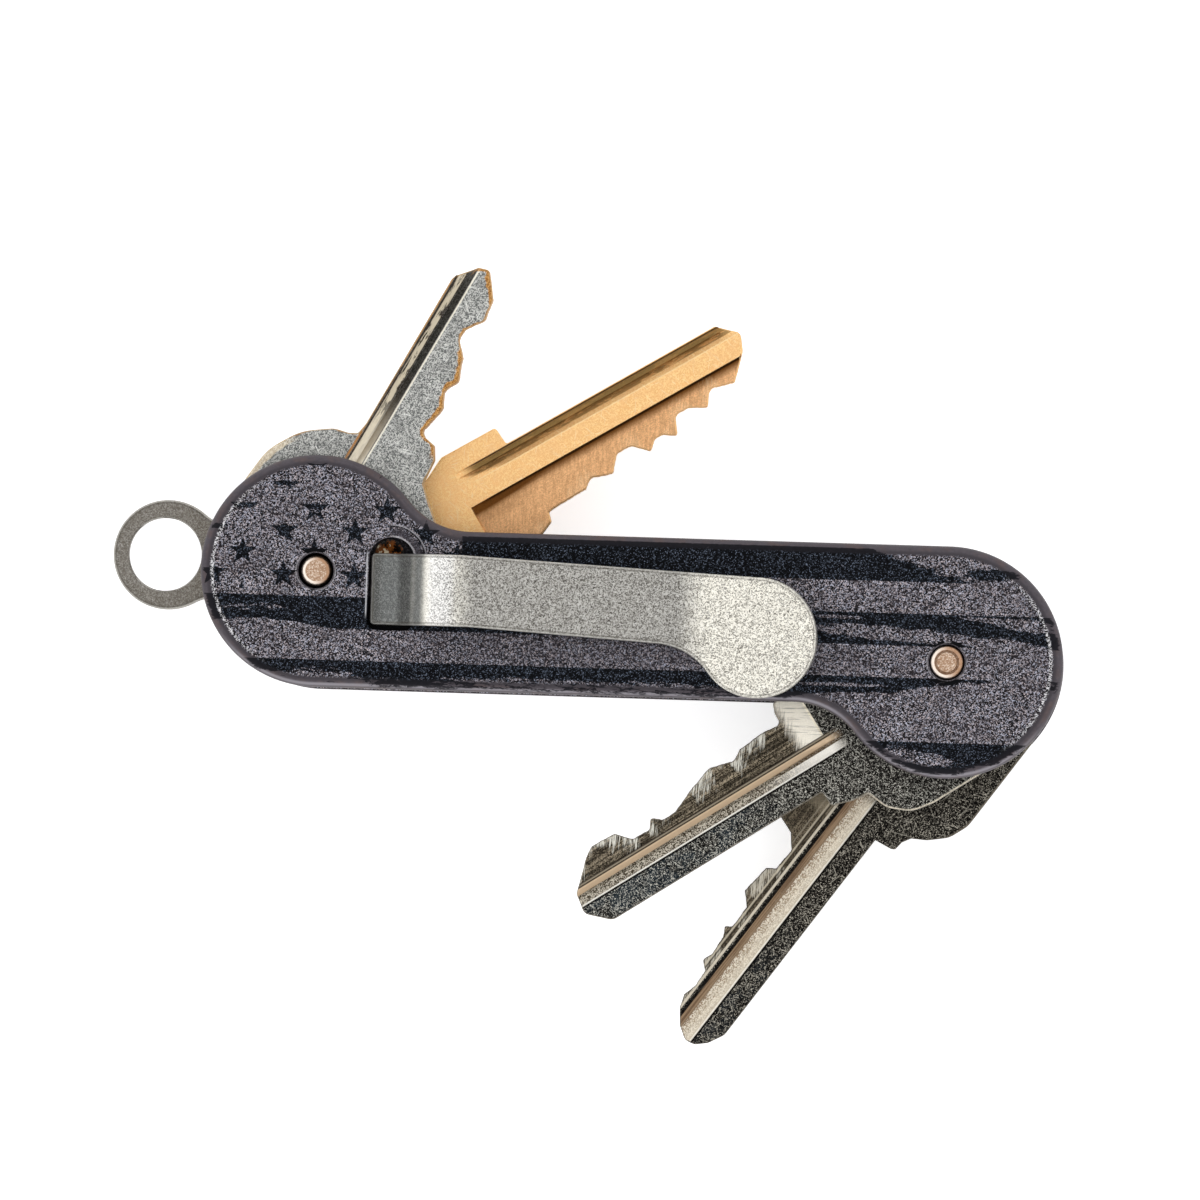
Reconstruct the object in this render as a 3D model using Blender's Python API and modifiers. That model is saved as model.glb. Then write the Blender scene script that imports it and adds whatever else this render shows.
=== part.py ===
"""Pocket key organizer: two S-shaped scales on two posts, with four keys, a ring loop and a clip.

Metres, +Z up. The handle lies on its back scale with its long axis along X and the clip side up.
The origin is on the back face, half way between the two posts. Keys stand where they were swung out
to. Every key and the loop turn about Z through their post, so each has its origin on that axis.
"""
import math

import bmesh
import bpy
from mathutils import Matrix

MM = 0.001

# Handle outline: two round lobes joined by a straight bar, the same after half a turn
POST_SPAN_X = 64.4 * MM
POST_SPAN_Y = 7.35 * MM
LOBE_RADIUS = 11.8 * MM
NECK_RADIUS = 8.3 * MM
SCALE_THICK = 3.2 * MM
EDGE_ROUND = 1.3 * MM

# Posts and the bores they pass through
POST_RADIUS = 1.7 * MM
POST_END_ROUND = 0.35 * MM
LEFT_POST_SINK = 0.45 * MM
RIGHT_POST_SINK = 0.1 * MM
STUD_RADIUS = 1.45 * MM
STUD_SINK = 0.3 * MM
STUD_CHAMFER = 0.25 * MM
POST_FIT = 0.1 * MM
RELIEF_RADIUS = 2.0 * MM
RELIEF_DEPTH = 1.3 * MM
BORE_CHAMFER = 0.27 * MM

# Stack between the scales
RUN = 0.05 * MM
WASHER_RADIUS = 4.5 * MM
WASHER_THICK = 0.4 * MM
SPACER_RADIUS = 4.0 * MM
SPACER_CHAMFER = 0.2 * MM
SHIM_THICK = 0.55 * MM

# Nylon-insert lock nuts, sunk in the back scale
NUT_FLATS = 5.5 * MM
NUT_HEIGHT = 2.2 * MM
NUT_SINK = 0.15 * MM
NUT_SEAT_GAP = 0.05 * MM
NUT_CLEARANCE = 0.2 * MM
NUT_CORNER_CUT = 0.35 * MM
INSERT_RADIUS = 2.15 * MM
INSERT_HEIGHT = 0.7 * MM

# Loop plate for a split ring
LOOP_THICK = 1.5 * MM
LOOP_REACH = 16.1 * MM
LOOP_RADIUS = 5.63 * MM
LOOP_EYE_REACH = 16.4 * MM
LOOP_EYE_RADIUS = 3.74 * MM
LOOP_NECK_HALF = 3.7 * MM
LOOP_NECK_ROUND = 5.0 * MM
LOOP_EAR_RADIUS = 5.2 * MM
LOOP_EDGE = 0.2 * MM
LOOP_ANGLE = 174.8

# Pocket clip: a bent leaf whose root sits in a window milled into the front scale
CLIP_THICK = 1.1 * MM
CLIP_ROOT_X = -24.9 * MM
CLIP_ROOT_LEFT = 1.65 * MM
CLIP_ROOT_TOP = 5.64 * MM
CLIP_ROOT_BOTTOM = -1.64 * MM
CLIP_ROOT_ROUND = 0.4 * MM
CLIP_RAMP_START = 1.1 * MM
CLIP_CREST_START = 4.25 * MM
CLIP_CREST_GAP = 1.55 * MM
CLIP_TOUCH_X = 32.4 * MM
CLIP_TOUCH_GAP = 0.12 * MM
CLIP_TIP_RISE = 1.35 * MM
CLIP_RAMP_ROUND = 1.7 * MM
CLIP_CREST_ROUND = 2.4 * MM
CLIP_TOUCH_ROUND = 7.0 * MM
CLIP_TOP_BEND_X = -17.4 * MM
CLIP_LOW_BEND_X = -16.4 * MM
CLIP_LOW_LEAN = math.radians(3.2)
PADDLE_X = 12.9 * MM
PADDLE_Y = -1.82 * MM
PADDLE_RADIUS = 6.14 * MM
PADDLE_NECK_ROUND = 7.0 * MM
WINDOW_DEPTH = 1.5 * MM
WINDOW_MARGIN = 0.28 * MM
WINDOW_WIDTH = 4.65 * MM
WINDOW_TOP = 7.3 * MM
WINDOW_BOTTOM_GAP = 0.55 * MM
WINDOW_CORNER = 1.0 * MM
CLIP_FLOOR_GAP = 0.3 * MM
DRAIN_RADIUS = 1.5 * MM
DRAIN_X = -24.87 * MM
DRAIN_Y = 5.67 * MM
LEDGE_WIDTH = 1.15 * MM
LEDGE_DEPTH = 0.2 * MM
RIVET_RADIUS = 1.0 * MM
RIVET_HEAD_RADIUS = 1.9 * MM
RIVET_HEAD_DEPTH = 0.9 * MM
RIVET_Y = 1.2 * MM
RIVET_FIT = 0.2 * MM
RIVET_BITE = 0.4 * MM

# Smoothness of round shapes, in segments for a full turn
LOBE_SEGMENTS = 72
BORE_SEGMENTS = 40
RING_SEGMENTS = 32
CORNER_STEP = math.radians(16)

# Keys, in millimetres in the key's own frame: u runs from the post axis towards the tip and v across
# the blade, with the cut edge on the -v side. The third number is a corner's radius. The head runs
# from the blade's plain edge round to its cut edge, the bitting from there to the tip.
SMALL_KEY = {
    "name": "small_nickel_key",
    "thick": 2.0 * MM,
    "angle": 60.95,
    "head": [(15.4, 3.55, 0.5), (14.2, 3.75, 0.4), (13.75, 4.6, 0.8), (13.4, 6.1, 2.5), (11.4, 8.9, 6.0),
             (8.1, 10.85, 6.0), (4.4, 11.25, 6.0), (-1.0, 11.25, 6.0), (-9.6, 11.25, 9.0),
             (-9.6, -11.3, 9.0), (4.0, -11.3, 5.0), (8.6, -9.9, 5.0), (11.2, -6.8, 3.0),
             (13.1, -4.6, 1.2), (15.8, -4.4, 0.5), (17.1, -3.6, 0.3)],
    "bitting": [(17.3, -2.4, 0.3), (17.75, -1.8, 0.5), (18.8, -2.1, 0.8), (20.8, -2.45, 0.5),
                (22.4, -1.6, 0.9), (23.9, -2.4, 0.4), (26.3, -1.5, 0.4), (27.7, -0.25, 0.8),
                (28.8, -0.25, 0.8), (30.7, -1.5, 0.5)],
    "tip": [(32.9, -1.15, 0.4), (34.2, -0.2, 0.6), (35.35, 0.75, 0.4), (35.0, 1.85, 0.3),
            (33.2, 3.4, 0.2), (32.6, 3.6, 0.3)],
    "groove": {"wall": 3.4, "floor": 2.45, "ridge": 1.65, "depth": 0.65, "end": 9.5},
    "back_groove": {"wall": -1.0, "floor": -0.2, "ridge": 0.6, "depth": 0.6, "end": 14.5},
}
BRASS_KEY = {
    "name": "brass_key",
    "thick": 2.2 * MM,
    "angle": 31.15,
    "head": [(22.95, 2.2, 0.3), (22.8, 4.2, 0.3), (16.45, 4.25, 0.6), (14.2, 3.1, 1.2),
             (11.6, 2.3, 1.5), (9.6, 7.2, 3.0), (4.5, 8.6, 5.0), (-9.0, 8.6, 8.5), (-9.0, -11.1, 9.0),
             (6.5, -11.1, 5.0), (11.3, -6.3, 2.5), (14.2, -6.4, 1.2), (16.5, -7.7, 0.8),
             (21.6, -7.65, 0.8), (23.1, -7.0, 0.4)],
    "bitting": [(23.35, -5.95, 0.3), (27.8, -5.8, 0.4), (28.75, -5.05, 0.8), (31.0, -5.8, 0.3),
                (32.3, -4.2, 0.6), (34.0, -4.2, 0.8), (35.5, -5.75, 0.3), (36.4, -4.8, 0.6),
                (37.3, -4.8, 0.6), (38.65, -5.65, 0.3), (39.5, -3.7, 0.7), (41.0, -3.7, 0.8),
                (42.75, -4.65, 0.3), (43.9, -3.05, 0.8)],
    "tip": [(46.4, -3.8, 0.4), (48.75, -1.4, 1.2), (49.45, 0.35, 0.6), (47.5, 2.2, 0.5)],
    "groove": {"wall": 2.05, "floor": 1.5, "ridge": 0.45, "depth": 0.75, "end": 16.9},
    "step": {"top": -1.75, "depth": 0.45, "end": 16.7},
    "back_groove": {"wall": -0.6, "floor": -1.4, "ridge": -2.4, "depth": 0.7, "end": 17.5},
}
FRONT_KEY = {
    "name": "front_nickel_key",
    "thick": 2.1 * MM,
    "angle": 213.25,
    "head": [(17.72, 4.5, 0.3), (17.72, 6.18, 0.3), (15.6, 6.86, 0.6), (13.85, 7.1, 0.3),
             (13.0, 9.3, 2.5), (11.0, 11.0, 3.0), (8.6, 11.4, 3.0), (-8.0, 11.4, 9.0), (-8.0, -10.8, 9.0),
             (9.5, -10.8, 4.0), (13.6, -8.4, 3.0), (13.8, -6.6, 0.5), (15.6, -6.3, 0.6),
             (17.35, -5.8, 0.3)],
    "bitting": [(17.75, -4.8, 0.3), (17.65, -4.1, 0.3), (18.1, -3.6, 0.4), (19.6, -3.85, 1.0),
                (22.6, -3.6, 0.8), (23.8, -2.9, 0.8), (26.3, -3.6, 0.5), (28.9, -2.75, 0.8),
                (31.6, -1.6, 0.9), (33.1, -1.55, 0.5), (34.1, -2.4, 0.25), (34.8, -1.4, 0.5),
                (36.8, -1.5, 0.8), (38.1, -2.95, 0.4)],
    "tip": [(40.8, -3.05, 0.3), (41.8, -2.35, 0.4), (44.6, 0.3, 0.8), (44.95, 2.45, 0.9),
            (42.8, 4.5, 1.0)],
    "groove": {"wall": 1.75, "floor": 0.9, "ridge": 0.08, "depth": 0.65, "end": 12.2},
    "step": {"top": -0.35, "depth": 0.25, "end": 14.6},
    "back_groove": {"wall": -0.8, "floor": -1.5, "ridge": -2.2, "depth": 0.65, "end": 15.0},
}
REAR_KEY = {
    "name": "rear_nickel_key",
    "thick": 2.1 * MM,
    "angle": 234.05,
    "head": [(18.55, 5.1, 0.3), (18.7, 6.65, 0.3), (18.35, 7.3, 0.3), (17.35, 7.4, 0.3), (16.45, 7.9, 0.4),
             (15.6, 9.3, 1.5), (14.0, 10.95, 2.5), (11.9, 11.75, 3.0), (-8.0, 11.75, 9.3),
             (-8.0, -11.5, 9.3), (10.5, -11.5, 4.5), (16.1, -8.7, 4.0), (17.0, -7.0, 0.5),
             (18.7, -6.8, 0.5), (18.7, -4.6, 0.3)],
    "bitting": [(22.7, -4.5, 0.4), (23.5, -2.2, 0.3), (24.9, -1.05, 0.4), (27.3, -1.15, 0.3),
                (27.9, -2.0, 0.3), (31.1, -2.3, 0.3), (32.3, -1.1, 0.4), (34.8, -1.05, 0.3),
                (35.2, -1.7, 0.2), (36.2, -1.15, 0.4), (38.3, -1.0, 0.6), (39.3, -1.35, 0.2),
                (40.1, -0.5, 0.4), (41.8, -0.35, 0.5)],
    "tip": [(43.3, -0.7, 0.3), (44.6, -0.25, 0.4), (46.1, 0.9, 0.6), (46.95, 2.2, 0.7), (46.7, 3.3, 0.8),
            (45.7, 4.3, 1.0), (44.1, 5.1, 1.2)],
    "groove": {"wall": 2.74, "floor": 1.15, "ridge": 0.1, "depth": 0.65, "end": 14.5},
    "step": {"top": -0.35, "depth": 0.3, "end": 17.2},
    "back_groove": {"wall": 3.4, "floor": 2.6, "ridge": 1.8, "depth": 0.5, "end": 16.0},
}
KEY_EDGE = 0.15 * MM
GROOVE_RUN_RADIUS = 22.0 * MM

# Heights worked out from the stack, rear to front
LAYERS = (max(REAR_KEY["thick"], LOOP_THICK + RUN + SHIM_THICK),
          BRASS_KEY["thick"],
          FRONT_KEY["thick"],
          SMALL_KEY["thick"])


def layer_floor(index):
    """Height of the underside of one layer of the stack, counted from the rear."""
    below = sum(LAYERS[:index])
    return SCALE_THICK + RUN + (index + 1) * (WASHER_THICK + RUN) + index * RUN + below


FRONT_INNER = layer_floor(len(LAYERS))
FACE = FRONT_INNER + SCALE_THICK
LEFT_POST = (-POST_SPAN_X / 2, POST_SPAN_Y / 2)
RIGHT_POST = (POST_SPAN_X / 2, -POST_SPAN_Y / 2)
BAR_TOP = LOBE_RADIUS - POST_SPAN_Y / 2
NUT_RADIUS = NUT_FLATS / 2 / math.cos(math.pi / 6)
NUT_POCKET_DEPTH = NUT_SINK + NUT_HEIGHT + NUT_SEAT_GAP
CLIP_PIVOT_Z = FACE - WINDOW_DEPTH + CLIP_FLOOR_GAP
BEYOND = 1.0 * MM


def clear_scene():
    """Empty the file, so that the script can be run again."""
    for item in list(bpy.data.objects):
        bpy.data.objects.remove(item, do_unlink=True)
    for group in list(bpy.data.collections):
        bpy.data.collections.remove(group)


def new_collection(name):
    group = bpy.data.collections.new(name)
    bpy.context.scene.collection.children.link(group)
    return group


def material(name, colour, roughness, metallic):
    """Plain Principled material in the part's colour."""
    made = bpy.data.materials.new(name)
    made.use_nodes = True
    shader = made.node_tree.nodes["Principled BSDF"]
    shader.inputs["Base Color"].default_value = (*colour, 1.0)
    shader.inputs["Roughness"].default_value = roughness
    shader.inputs["Metallic"].default_value = metallic
    return made


def arc(centre, radius, start, end, step=CORNER_STEP):
    """Points on an arc from one angle to another, both ends included."""
    count = max(2, math.ceil(abs(end - start) / step - 1e-6))
    angles = [start + (end - start) * i / count for i in range(count + 1)]
    return [(centre[0] + radius * math.cos(a), centre[1] + radius * math.sin(a)) for a in angles]


def rounded(corners, closed=True):
    """Polygon or path whose corners (x, y, radius) become arcs tangent to both sides.

    Where two arcs need more than the side between them, both shrink in the same proportion.
    """
    count = len(corners)
    turns, reaches = [], []
    for i, (x, y, radius) in enumerate(corners):
        before, after = corners[i - 1], corners[(i + 1) % count]
        ax, ay = before[0] - x, before[1] - y
        bx, by = after[0] - x, after[1] - y
        la, lb = math.hypot(ax, ay), math.hypot(bx, by)
        cosine = max(-1.0, min(1.0, (ax * bx + ay * by) / (la * lb)))
        half = math.acos(cosine) / 2
        plain = not closed and i in (0, count - 1) or radius <= 0 or half > math.radians(88.5)
        turns.append((ax / la, ay / la, bx / lb, by / lb, la, lb, half))
        reaches.append(0.0 if plain else radius / math.tan(half))
    result = []
    for i, (x, y, _) in enumerate(corners):
        if reaches[i] <= 0:
            result.append((x, y))
            continue
        ax, ay, bx, by, la, lb, half = turns[i]
        share_a = min(1.0, 0.98 * la / (reaches[i] + reaches[i - 1]))
        share_b = min(1.0, 0.98 * lb / (reaches[i] + reaches[(i + 1) % count]))
        reach = reaches[i] * min(share_a, share_b)
        size = reach * math.tan(half)
        start = (x + ax * reach, y + ay * reach)
        end = (x + bx * reach, y + by * reach)
        away = size / math.sin(half) / math.hypot(ax + bx, ay + by)
        centre = (x + (ax + bx) * away, y + (ay + by) * away)
        first = math.atan2(start[1] - centre[1], start[0] - centre[0])
        turn = math.atan2(end[1] - centre[1], end[0] - centre[0]) - first
        turn = (turn + math.pi) % (2 * math.pi) - math.pi
        result.extend(arc(centre, size, first, first + turn))
    return result


def half_turn(points):
    return [(-x, -y) for x, y in points]


def handle_outline():
    """S-shaped plate: each lobe meets the bar in a tangent on one side and a hollow on the other."""
    step = 2 * math.pi / LOBE_SEGMENTS
    rise = BAR_TOP + NECK_RADIUS - LEFT_POST[1]
    run = math.sqrt((LOBE_RADIUS + NECK_RADIUS) ** 2 - rise ** 2)
    lean = math.atan2(rise, run)
    hollow = (LEFT_POST[0] + run, BAR_TOP + NECK_RADIUS)
    half = arc(hollow, NECK_RADIUS, 1.5 * math.pi, math.pi + lean, step)
    half += arc(LEFT_POST, LOBE_RADIUS, lean, 1.5 * math.pi, step)[1:]
    return half + half_turn(half)


def waisted_outline(reach, radius, ear_radius, neck_half, neck_round):
    """Round end and round ear joined by a narrower neck, with a hollow at each of its four corners."""
    upper = []
    for centre, size, side in ((0.0, ear_radius, 1), (reach, radius, -1)):
        offset = math.sqrt((size + neck_round) ** 2 - (neck_half + neck_round) ** 2)
        hollow = (centre + side * offset, neck_half + neck_round)
        lean = math.atan2(hollow[1], hollow[0] - centre)
        if side > 0:
            upper += arc((centre, 0), size, math.pi, lean)
            upper += arc(hollow, neck_round, lean - math.pi, -math.pi / 2)[1:]
        else:
            upper += arc(hollow, neck_round, -math.pi / 2, lean - math.pi)
            upper += arc((centre, 0), size, lean, 0)[1:]
    lower = [(x, -y) for x, y in reversed(upper[1:-1])]
    return list(reversed(upper + lower))


def key_outline(key):
    """Whole outline of one key, counter-clockwise, in metres."""
    corners = key["head"] + key["bitting"] + key["tip"]
    return [(u * MM, v * MM) for u, v in rounded(corners)]


def link(name, mesh, group, colour=None):
    """Object made from a mesh, put in a collection."""
    item = bpy.data.objects.new(name, mesh)
    group.objects.link(item)
    if colour:
        mesh.materials.clear()
        mesh.materials.append(colour)
    return item


def curve_to_mesh(name, curve):
    """Evaluated mesh of a curve, its loose caps welded and their triangles dissolved."""
    holder = bpy.data.objects.new(name + "_curve", curve)
    bpy.context.scene.collection.objects.link(holder)
    bpy.context.view_layer.update()
    graph = bpy.context.evaluated_depsgraph_get()
    mesh = bpy.data.meshes.new_from_object(holder.evaluated_get(graph))
    bpy.data.objects.remove(holder, do_unlink=True)
    mesh.name = name
    built = bmesh.new()
    built.from_mesh(mesh)
    bmesh.ops.remove_doubles(built, verts=built.verts, dist=1e-7)
    bmesh.ops.dissolve_limit(built, angle_limit=math.radians(0.3), verts=built.verts, edges=built.edges)
    bmesh.ops.recalc_face_normals(built, faces=built.faces)
    built.to_mesh(mesh)
    built.free()
    return mesh


def poly_curve(name, points, closed=True, flat=True):
    """Curve through given points, 2D and filled when it is flat."""
    curve = bpy.data.curves.new(name, "CURVE")
    curve.dimensions = "2D" if flat else "3D"
    if flat:
        curve.fill_mode = "BOTH"
    spline = curve.splines.new("POLY")
    spline.points.add(len(points) - 1)
    for knot, point in zip(spline.points, points):
        knot.co = (*point, 0.0, 1.0) if len(point) == 2 else (*point, 1.0)
    spline.use_cyclic_u = closed
    return curve


def plate_mesh(name, outline, thick):
    """Flat plate with the given outline, its thickness shared above and below z = 0."""
    curve = poly_curve(name, outline)
    curve.extrude = thick / 2
    return curve_to_mesh(name, curve)


def rim_bevel(item, width, segments, high=True, low=True):
    """Bevel on the rim of a plate's upper face, its lower face or both."""
    mesh = item.data
    levels = [v.co.z for v in mesh.vertices]
    top, bottom = max(levels), min(levels)
    weights = mesh.attributes.new("bevel_weight_edge", "FLOAT", "EDGE")
    for edge in mesh.edges:
        a, b = (mesh.vertices[i].co.z for i in edge.vertices)
        on_top = abs(a - top) < 1e-7 and abs(b - top) < 1e-7
        on_bottom = abs(a - bottom) < 1e-7 and abs(b - bottom) < 1e-7
        weights.data[edge.index].value = 1.0 if (high and on_top) or (low and on_bottom) else 0.0
    bevel = item.modifiers.new("rim", "BEVEL")
    bevel.limit_method = "WEIGHT"
    bevel.width = width
    bevel.segments = segments
    return bevel


def turned(name, profile, group, place, steps=RING_SEGMENTS, colour=None):
    """Turned solid about Z. The (radius, height) profile runs down its outer side."""
    mesh = bpy.data.meshes.new(name)
    closed = profile[0][0] > 0
    edges = [(i, i + 1) for i in range(len(profile) - 1)]
    if closed:
        edges.append((len(profile) - 1, 0))
    mesh.from_pydata([(r, 0.0, z) for r, z in profile], edges, [])
    item = link(name, mesh, group, colour)
    screw = item.modifiers.new("turn", "SCREW")
    screw.steps = steps
    screw.render_steps = steps
    screw.use_merge_vertices = True
    screw.merge_threshold = 1e-6
    screw.use_smooth_shade = False
    item.location = place
    return item


def ring_profile(outer, inner, low, high, chamfer=0.0):
    """Section of a washer or spacer, down the outer side first."""
    if chamfer <= 0:
        return [(outer, high), (outer, low), (inner, low), (inner, high)]
    return [(outer - chamfer, high), (outer, high - chamfer), (outer, low + chamfer),
            (outer - chamfer, low), (inner, low), (inner, high)]


def as_cutter(item):
    item.hide_render = True
    item.display_type = "WIRE"
    return item


def prism(name, sides, radius, low, high, group, place, turn=0.0):
    """Upright prism or cylinder between two heights."""
    mesh = bpy.data.meshes.new(name)
    built = bmesh.new()
    lift = Matrix.Translation((0.0, 0.0, (low + high) / 2)) @ Matrix.Rotation(turn, 4, "Z")
    bmesh.ops.create_cone(built, cap_ends=True, segments=sides, radius1=radius, radius2=radius,
                          depth=high - low, matrix=lift)
    built.to_mesh(mesh)
    built.free()
    item = link(name, mesh, group)
    item.location = place
    return item


def boolean(item, other, operation="DIFFERENCE"):
    step = item.modifiers.new(other.name, "BOOLEAN")
    step.operation = operation
    step.object = other
    return step


def bore_cutter(name, post, group):
    """Stepped bore of the front scale: chamfer, wide relief and the narrow hole that grips the post."""
    wide = RELIEF_RADIUS + BORE_CHAMFER
    profile = [(0.0, FACE + BEYOND), (wide + BEYOND, FACE + BEYOND), (RELIEF_RADIUS, FACE - BORE_CHAMFER),
               (RELIEF_RADIUS, FACE - RELIEF_DEPTH), (POST_RADIUS + POST_FIT, FACE - RELIEF_DEPTH),
               (POST_RADIUS + POST_FIT, FRONT_INNER - BEYOND), (0.0, FRONT_INNER - BEYOND)]
    return as_cutter(turned(name, profile, group, (*post, 0.0), BORE_SEGMENTS))


def window_outline(grow=0.0):
    """Window for the clip's root: full round at the top end, small corners at the bottom end."""
    left = CLIP_ROOT_X - CLIP_ROOT_LEFT - WINDOW_MARGIN - grow
    right = left + WINDOW_WIDTH + 2 * grow
    low = CLIP_ROOT_BOTTOM - WINDOW_BOTTOM_GAP - grow
    high = WINDOW_TOP + grow
    top_round = (right - left) / 2 * 0.98
    return rounded([(left, low, WINDOW_CORNER), (right, low, WINDOW_CORNER),
                    (right, high, top_round), (left, high, top_round)])


def make_front_scale(parts, cutters, colour):
    mesh = plate_mesh("front_scale", handle_outline(), SCALE_THICK)
    scale = link("front_scale", mesh, parts, colour)
    scale.location.z = FRONT_INNER + SCALE_THICK / 2
    rim_bevel(scale, EDGE_ROUND, 4, low=False)

    for side, post in (("left", LEFT_POST), ("right", RIGHT_POST)):
        boolean(scale, bore_cutter(side + "_bore_cutter", post, cutters))

    window = link("window_cutter", plate_mesh("window_cutter", window_outline(), 2 * WINDOW_DEPTH), cutters)
    window.location.z = FACE
    boolean(scale, as_cutter(window))

    left_wall = CLIP_ROOT_X - CLIP_ROOT_LEFT - WINDOW_MARGIN
    right_wall = left_wall + WINDOW_WIDTH
    ledge_low = CLIP_ROOT_BOTTOM
    middle = (left_wall + right_wall) / 2
    reach = right_wall + LEDGE_WIDTH
    ledge_high = WINDOW_TOP - WINDOW_WIDTH / 2 + (reach - middle)
    shape = rounded([(middle, ledge_low, 0), (reach, ledge_low, WINDOW_CORNER),
                     (reach, ledge_high, (reach - middle) * 0.98), (middle, ledge_high, 0)])
    ledge = link("ledge_cutter", plate_mesh("ledge_cutter", shape, 2 * LEDGE_DEPTH), cutters)
    ledge.location.z = FACE
    boolean(scale, as_cutter(ledge))

    drain = prism("drain_cutter", RING_SEGMENTS, DRAIN_RADIUS, FRONT_INNER - BEYOND, FACE, cutters,
                  (DRAIN_X, DRAIN_Y, 0.0))
    boolean(scale, as_cutter(drain))

    hole = RIVET_RADIUS + RIVET_FIT
    head = RIVET_HEAD_RADIUS + RIVET_FIT
    deep = FRONT_INNER + RIVET_HEAD_DEPTH
    profile = [(0.0, FACE), (hole, FACE), (hole, deep), (head, FRONT_INNER + RIVET_FIT),
               (head, FRONT_INNER - BEYOND), (0.0, FRONT_INNER - BEYOND)]
    rivet_hole = turned("rivet_hole_cutter", profile, cutters, (CLIP_ROOT_X, RIVET_Y, 0.0))
    boolean(scale, as_cutter(rivet_hole))
    return scale


def make_back_scale(parts, cutters, colour):
    mesh = plate_mesh("back_scale", handle_outline(), SCALE_THICK)
    scale = link("back_scale", mesh, parts, colour)
    scale.location.z = SCALE_THICK / 2
    rim_bevel(scale, EDGE_ROUND, 4, high=False)
    pocket_radius = NUT_RADIUS + NUT_CLEARANCE
    for side, post in (("left", LEFT_POST), ("right", RIGHT_POST)):
        place = (*post, 0.0)
        pocket = prism(side + "_nut_pocket_cutter", 6, pocket_radius, -BEYOND, NUT_POCKET_DEPTH, cutters,
                       place)
        boolean(scale, as_cutter(pocket))
        hole = prism(side + "_stud_hole_cutter", RING_SEGMENTS, STUD_RADIUS + POST_FIT, 0.0,
                     SCALE_THICK + BEYOND, cutters, place)
        boolean(scale, as_cutter(hole))
    return scale


def make_post(side, post, sink, parts, colour):
    """Smooth post with a rounded outer end, shouldered down to a stud for the lock nut."""
    top = FACE - sink
    crown = arc((POST_RADIUS - POST_END_ROUND, top - POST_END_ROUND), POST_END_ROUND, math.pi / 2, 0.0,
                math.radians(30))
    profile = [(0.0, top)] + crown
    profile += [(POST_RADIUS, SCALE_THICK + RUN), (STUD_RADIUS, SCALE_THICK + RUN),
                (STUD_RADIUS, STUD_SINK + STUD_CHAMFER), (STUD_RADIUS - STUD_CHAMFER, STUD_SINK),
                (0.0, STUD_SINK)]
    return turned(side + "_post", profile, parts, (*post, 0.0), RING_SEGMENTS, colour)


def make_lock_nut(side, post, parts, cutters, steel, nylon):
    """Hexagonal nut with chamfered corners and a nylon ring in its outer end."""
    name = side + "_lock_nut"
    place = (*post, 0.0)
    top = NUT_SINK + NUT_HEIGHT
    nut = prism(name, 6, NUT_RADIUS, NUT_SINK, top, parts, place)
    nut.data.materials.append(steel)
    flat = NUT_FLATS / 2
    wide = NUT_RADIUS + BEYOND
    cut = NUT_CORNER_CUT * wide / flat
    barrel = [(0.0, top + BEYOND), (flat, top + BEYOND), (flat, top), (wide, top - cut),
              (wide, NUT_SINK + cut), (flat, NUT_SINK), (flat, NUT_SINK - BEYOND), (0.0, NUT_SINK - BEYOND)]
    boolean(nut, as_cutter(turned(name + "_barrel", barrel, cutters, place)), "INTERSECT")
    bore = STUD_RADIUS + POST_FIT
    seat = INSERT_RADIUS + RUN
    deep = NUT_SINK + INSERT_HEIGHT + RUN
    hollow = [(0.0, top + BEYOND), (bore, top + BEYOND), (bore, deep), (seat, deep),
              (seat, NUT_SINK - BEYOND), (0.0, NUT_SINK - BEYOND)]
    boolean(nut, as_cutter(turned(name + "_bore_cutter", hollow, cutters, place)))
    ring = ring_profile(INSERT_RADIUS, bore, NUT_SINK, NUT_SINK + INSERT_HEIGHT)
    turned(side + "_nut_insert", ring, parts, place, RING_SEGMENTS, nylon)


def make_washers(side, post, parts, colour):
    """Thin washers: one against each scale and one between neighbouring layers."""
    for index in range(len(LAYERS) + 1):
        low = layer_floor(index) - RUN - WASHER_THICK
        ring = ring_profile(WASHER_RADIUS, POST_RADIUS + POST_FIT, low, low + WASHER_THICK)
        turned(f"{side}_washer_{index + 1}", ring, parts, (*post, 0.0), RING_SEGMENTS, colour)


def make_spacer(name, post, low, thick, parts, colour):
    """Thick washer that fills the layer of a key on the other post."""
    chamfer = min(SPACER_CHAMFER, thick / 4)
    ring = ring_profile(SPACER_RADIUS, POST_RADIUS + POST_FIT, low, low + thick, chamfer)
    turned(name, ring, parts, (*post, 0.0), RING_SEGMENTS, colour)


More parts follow.
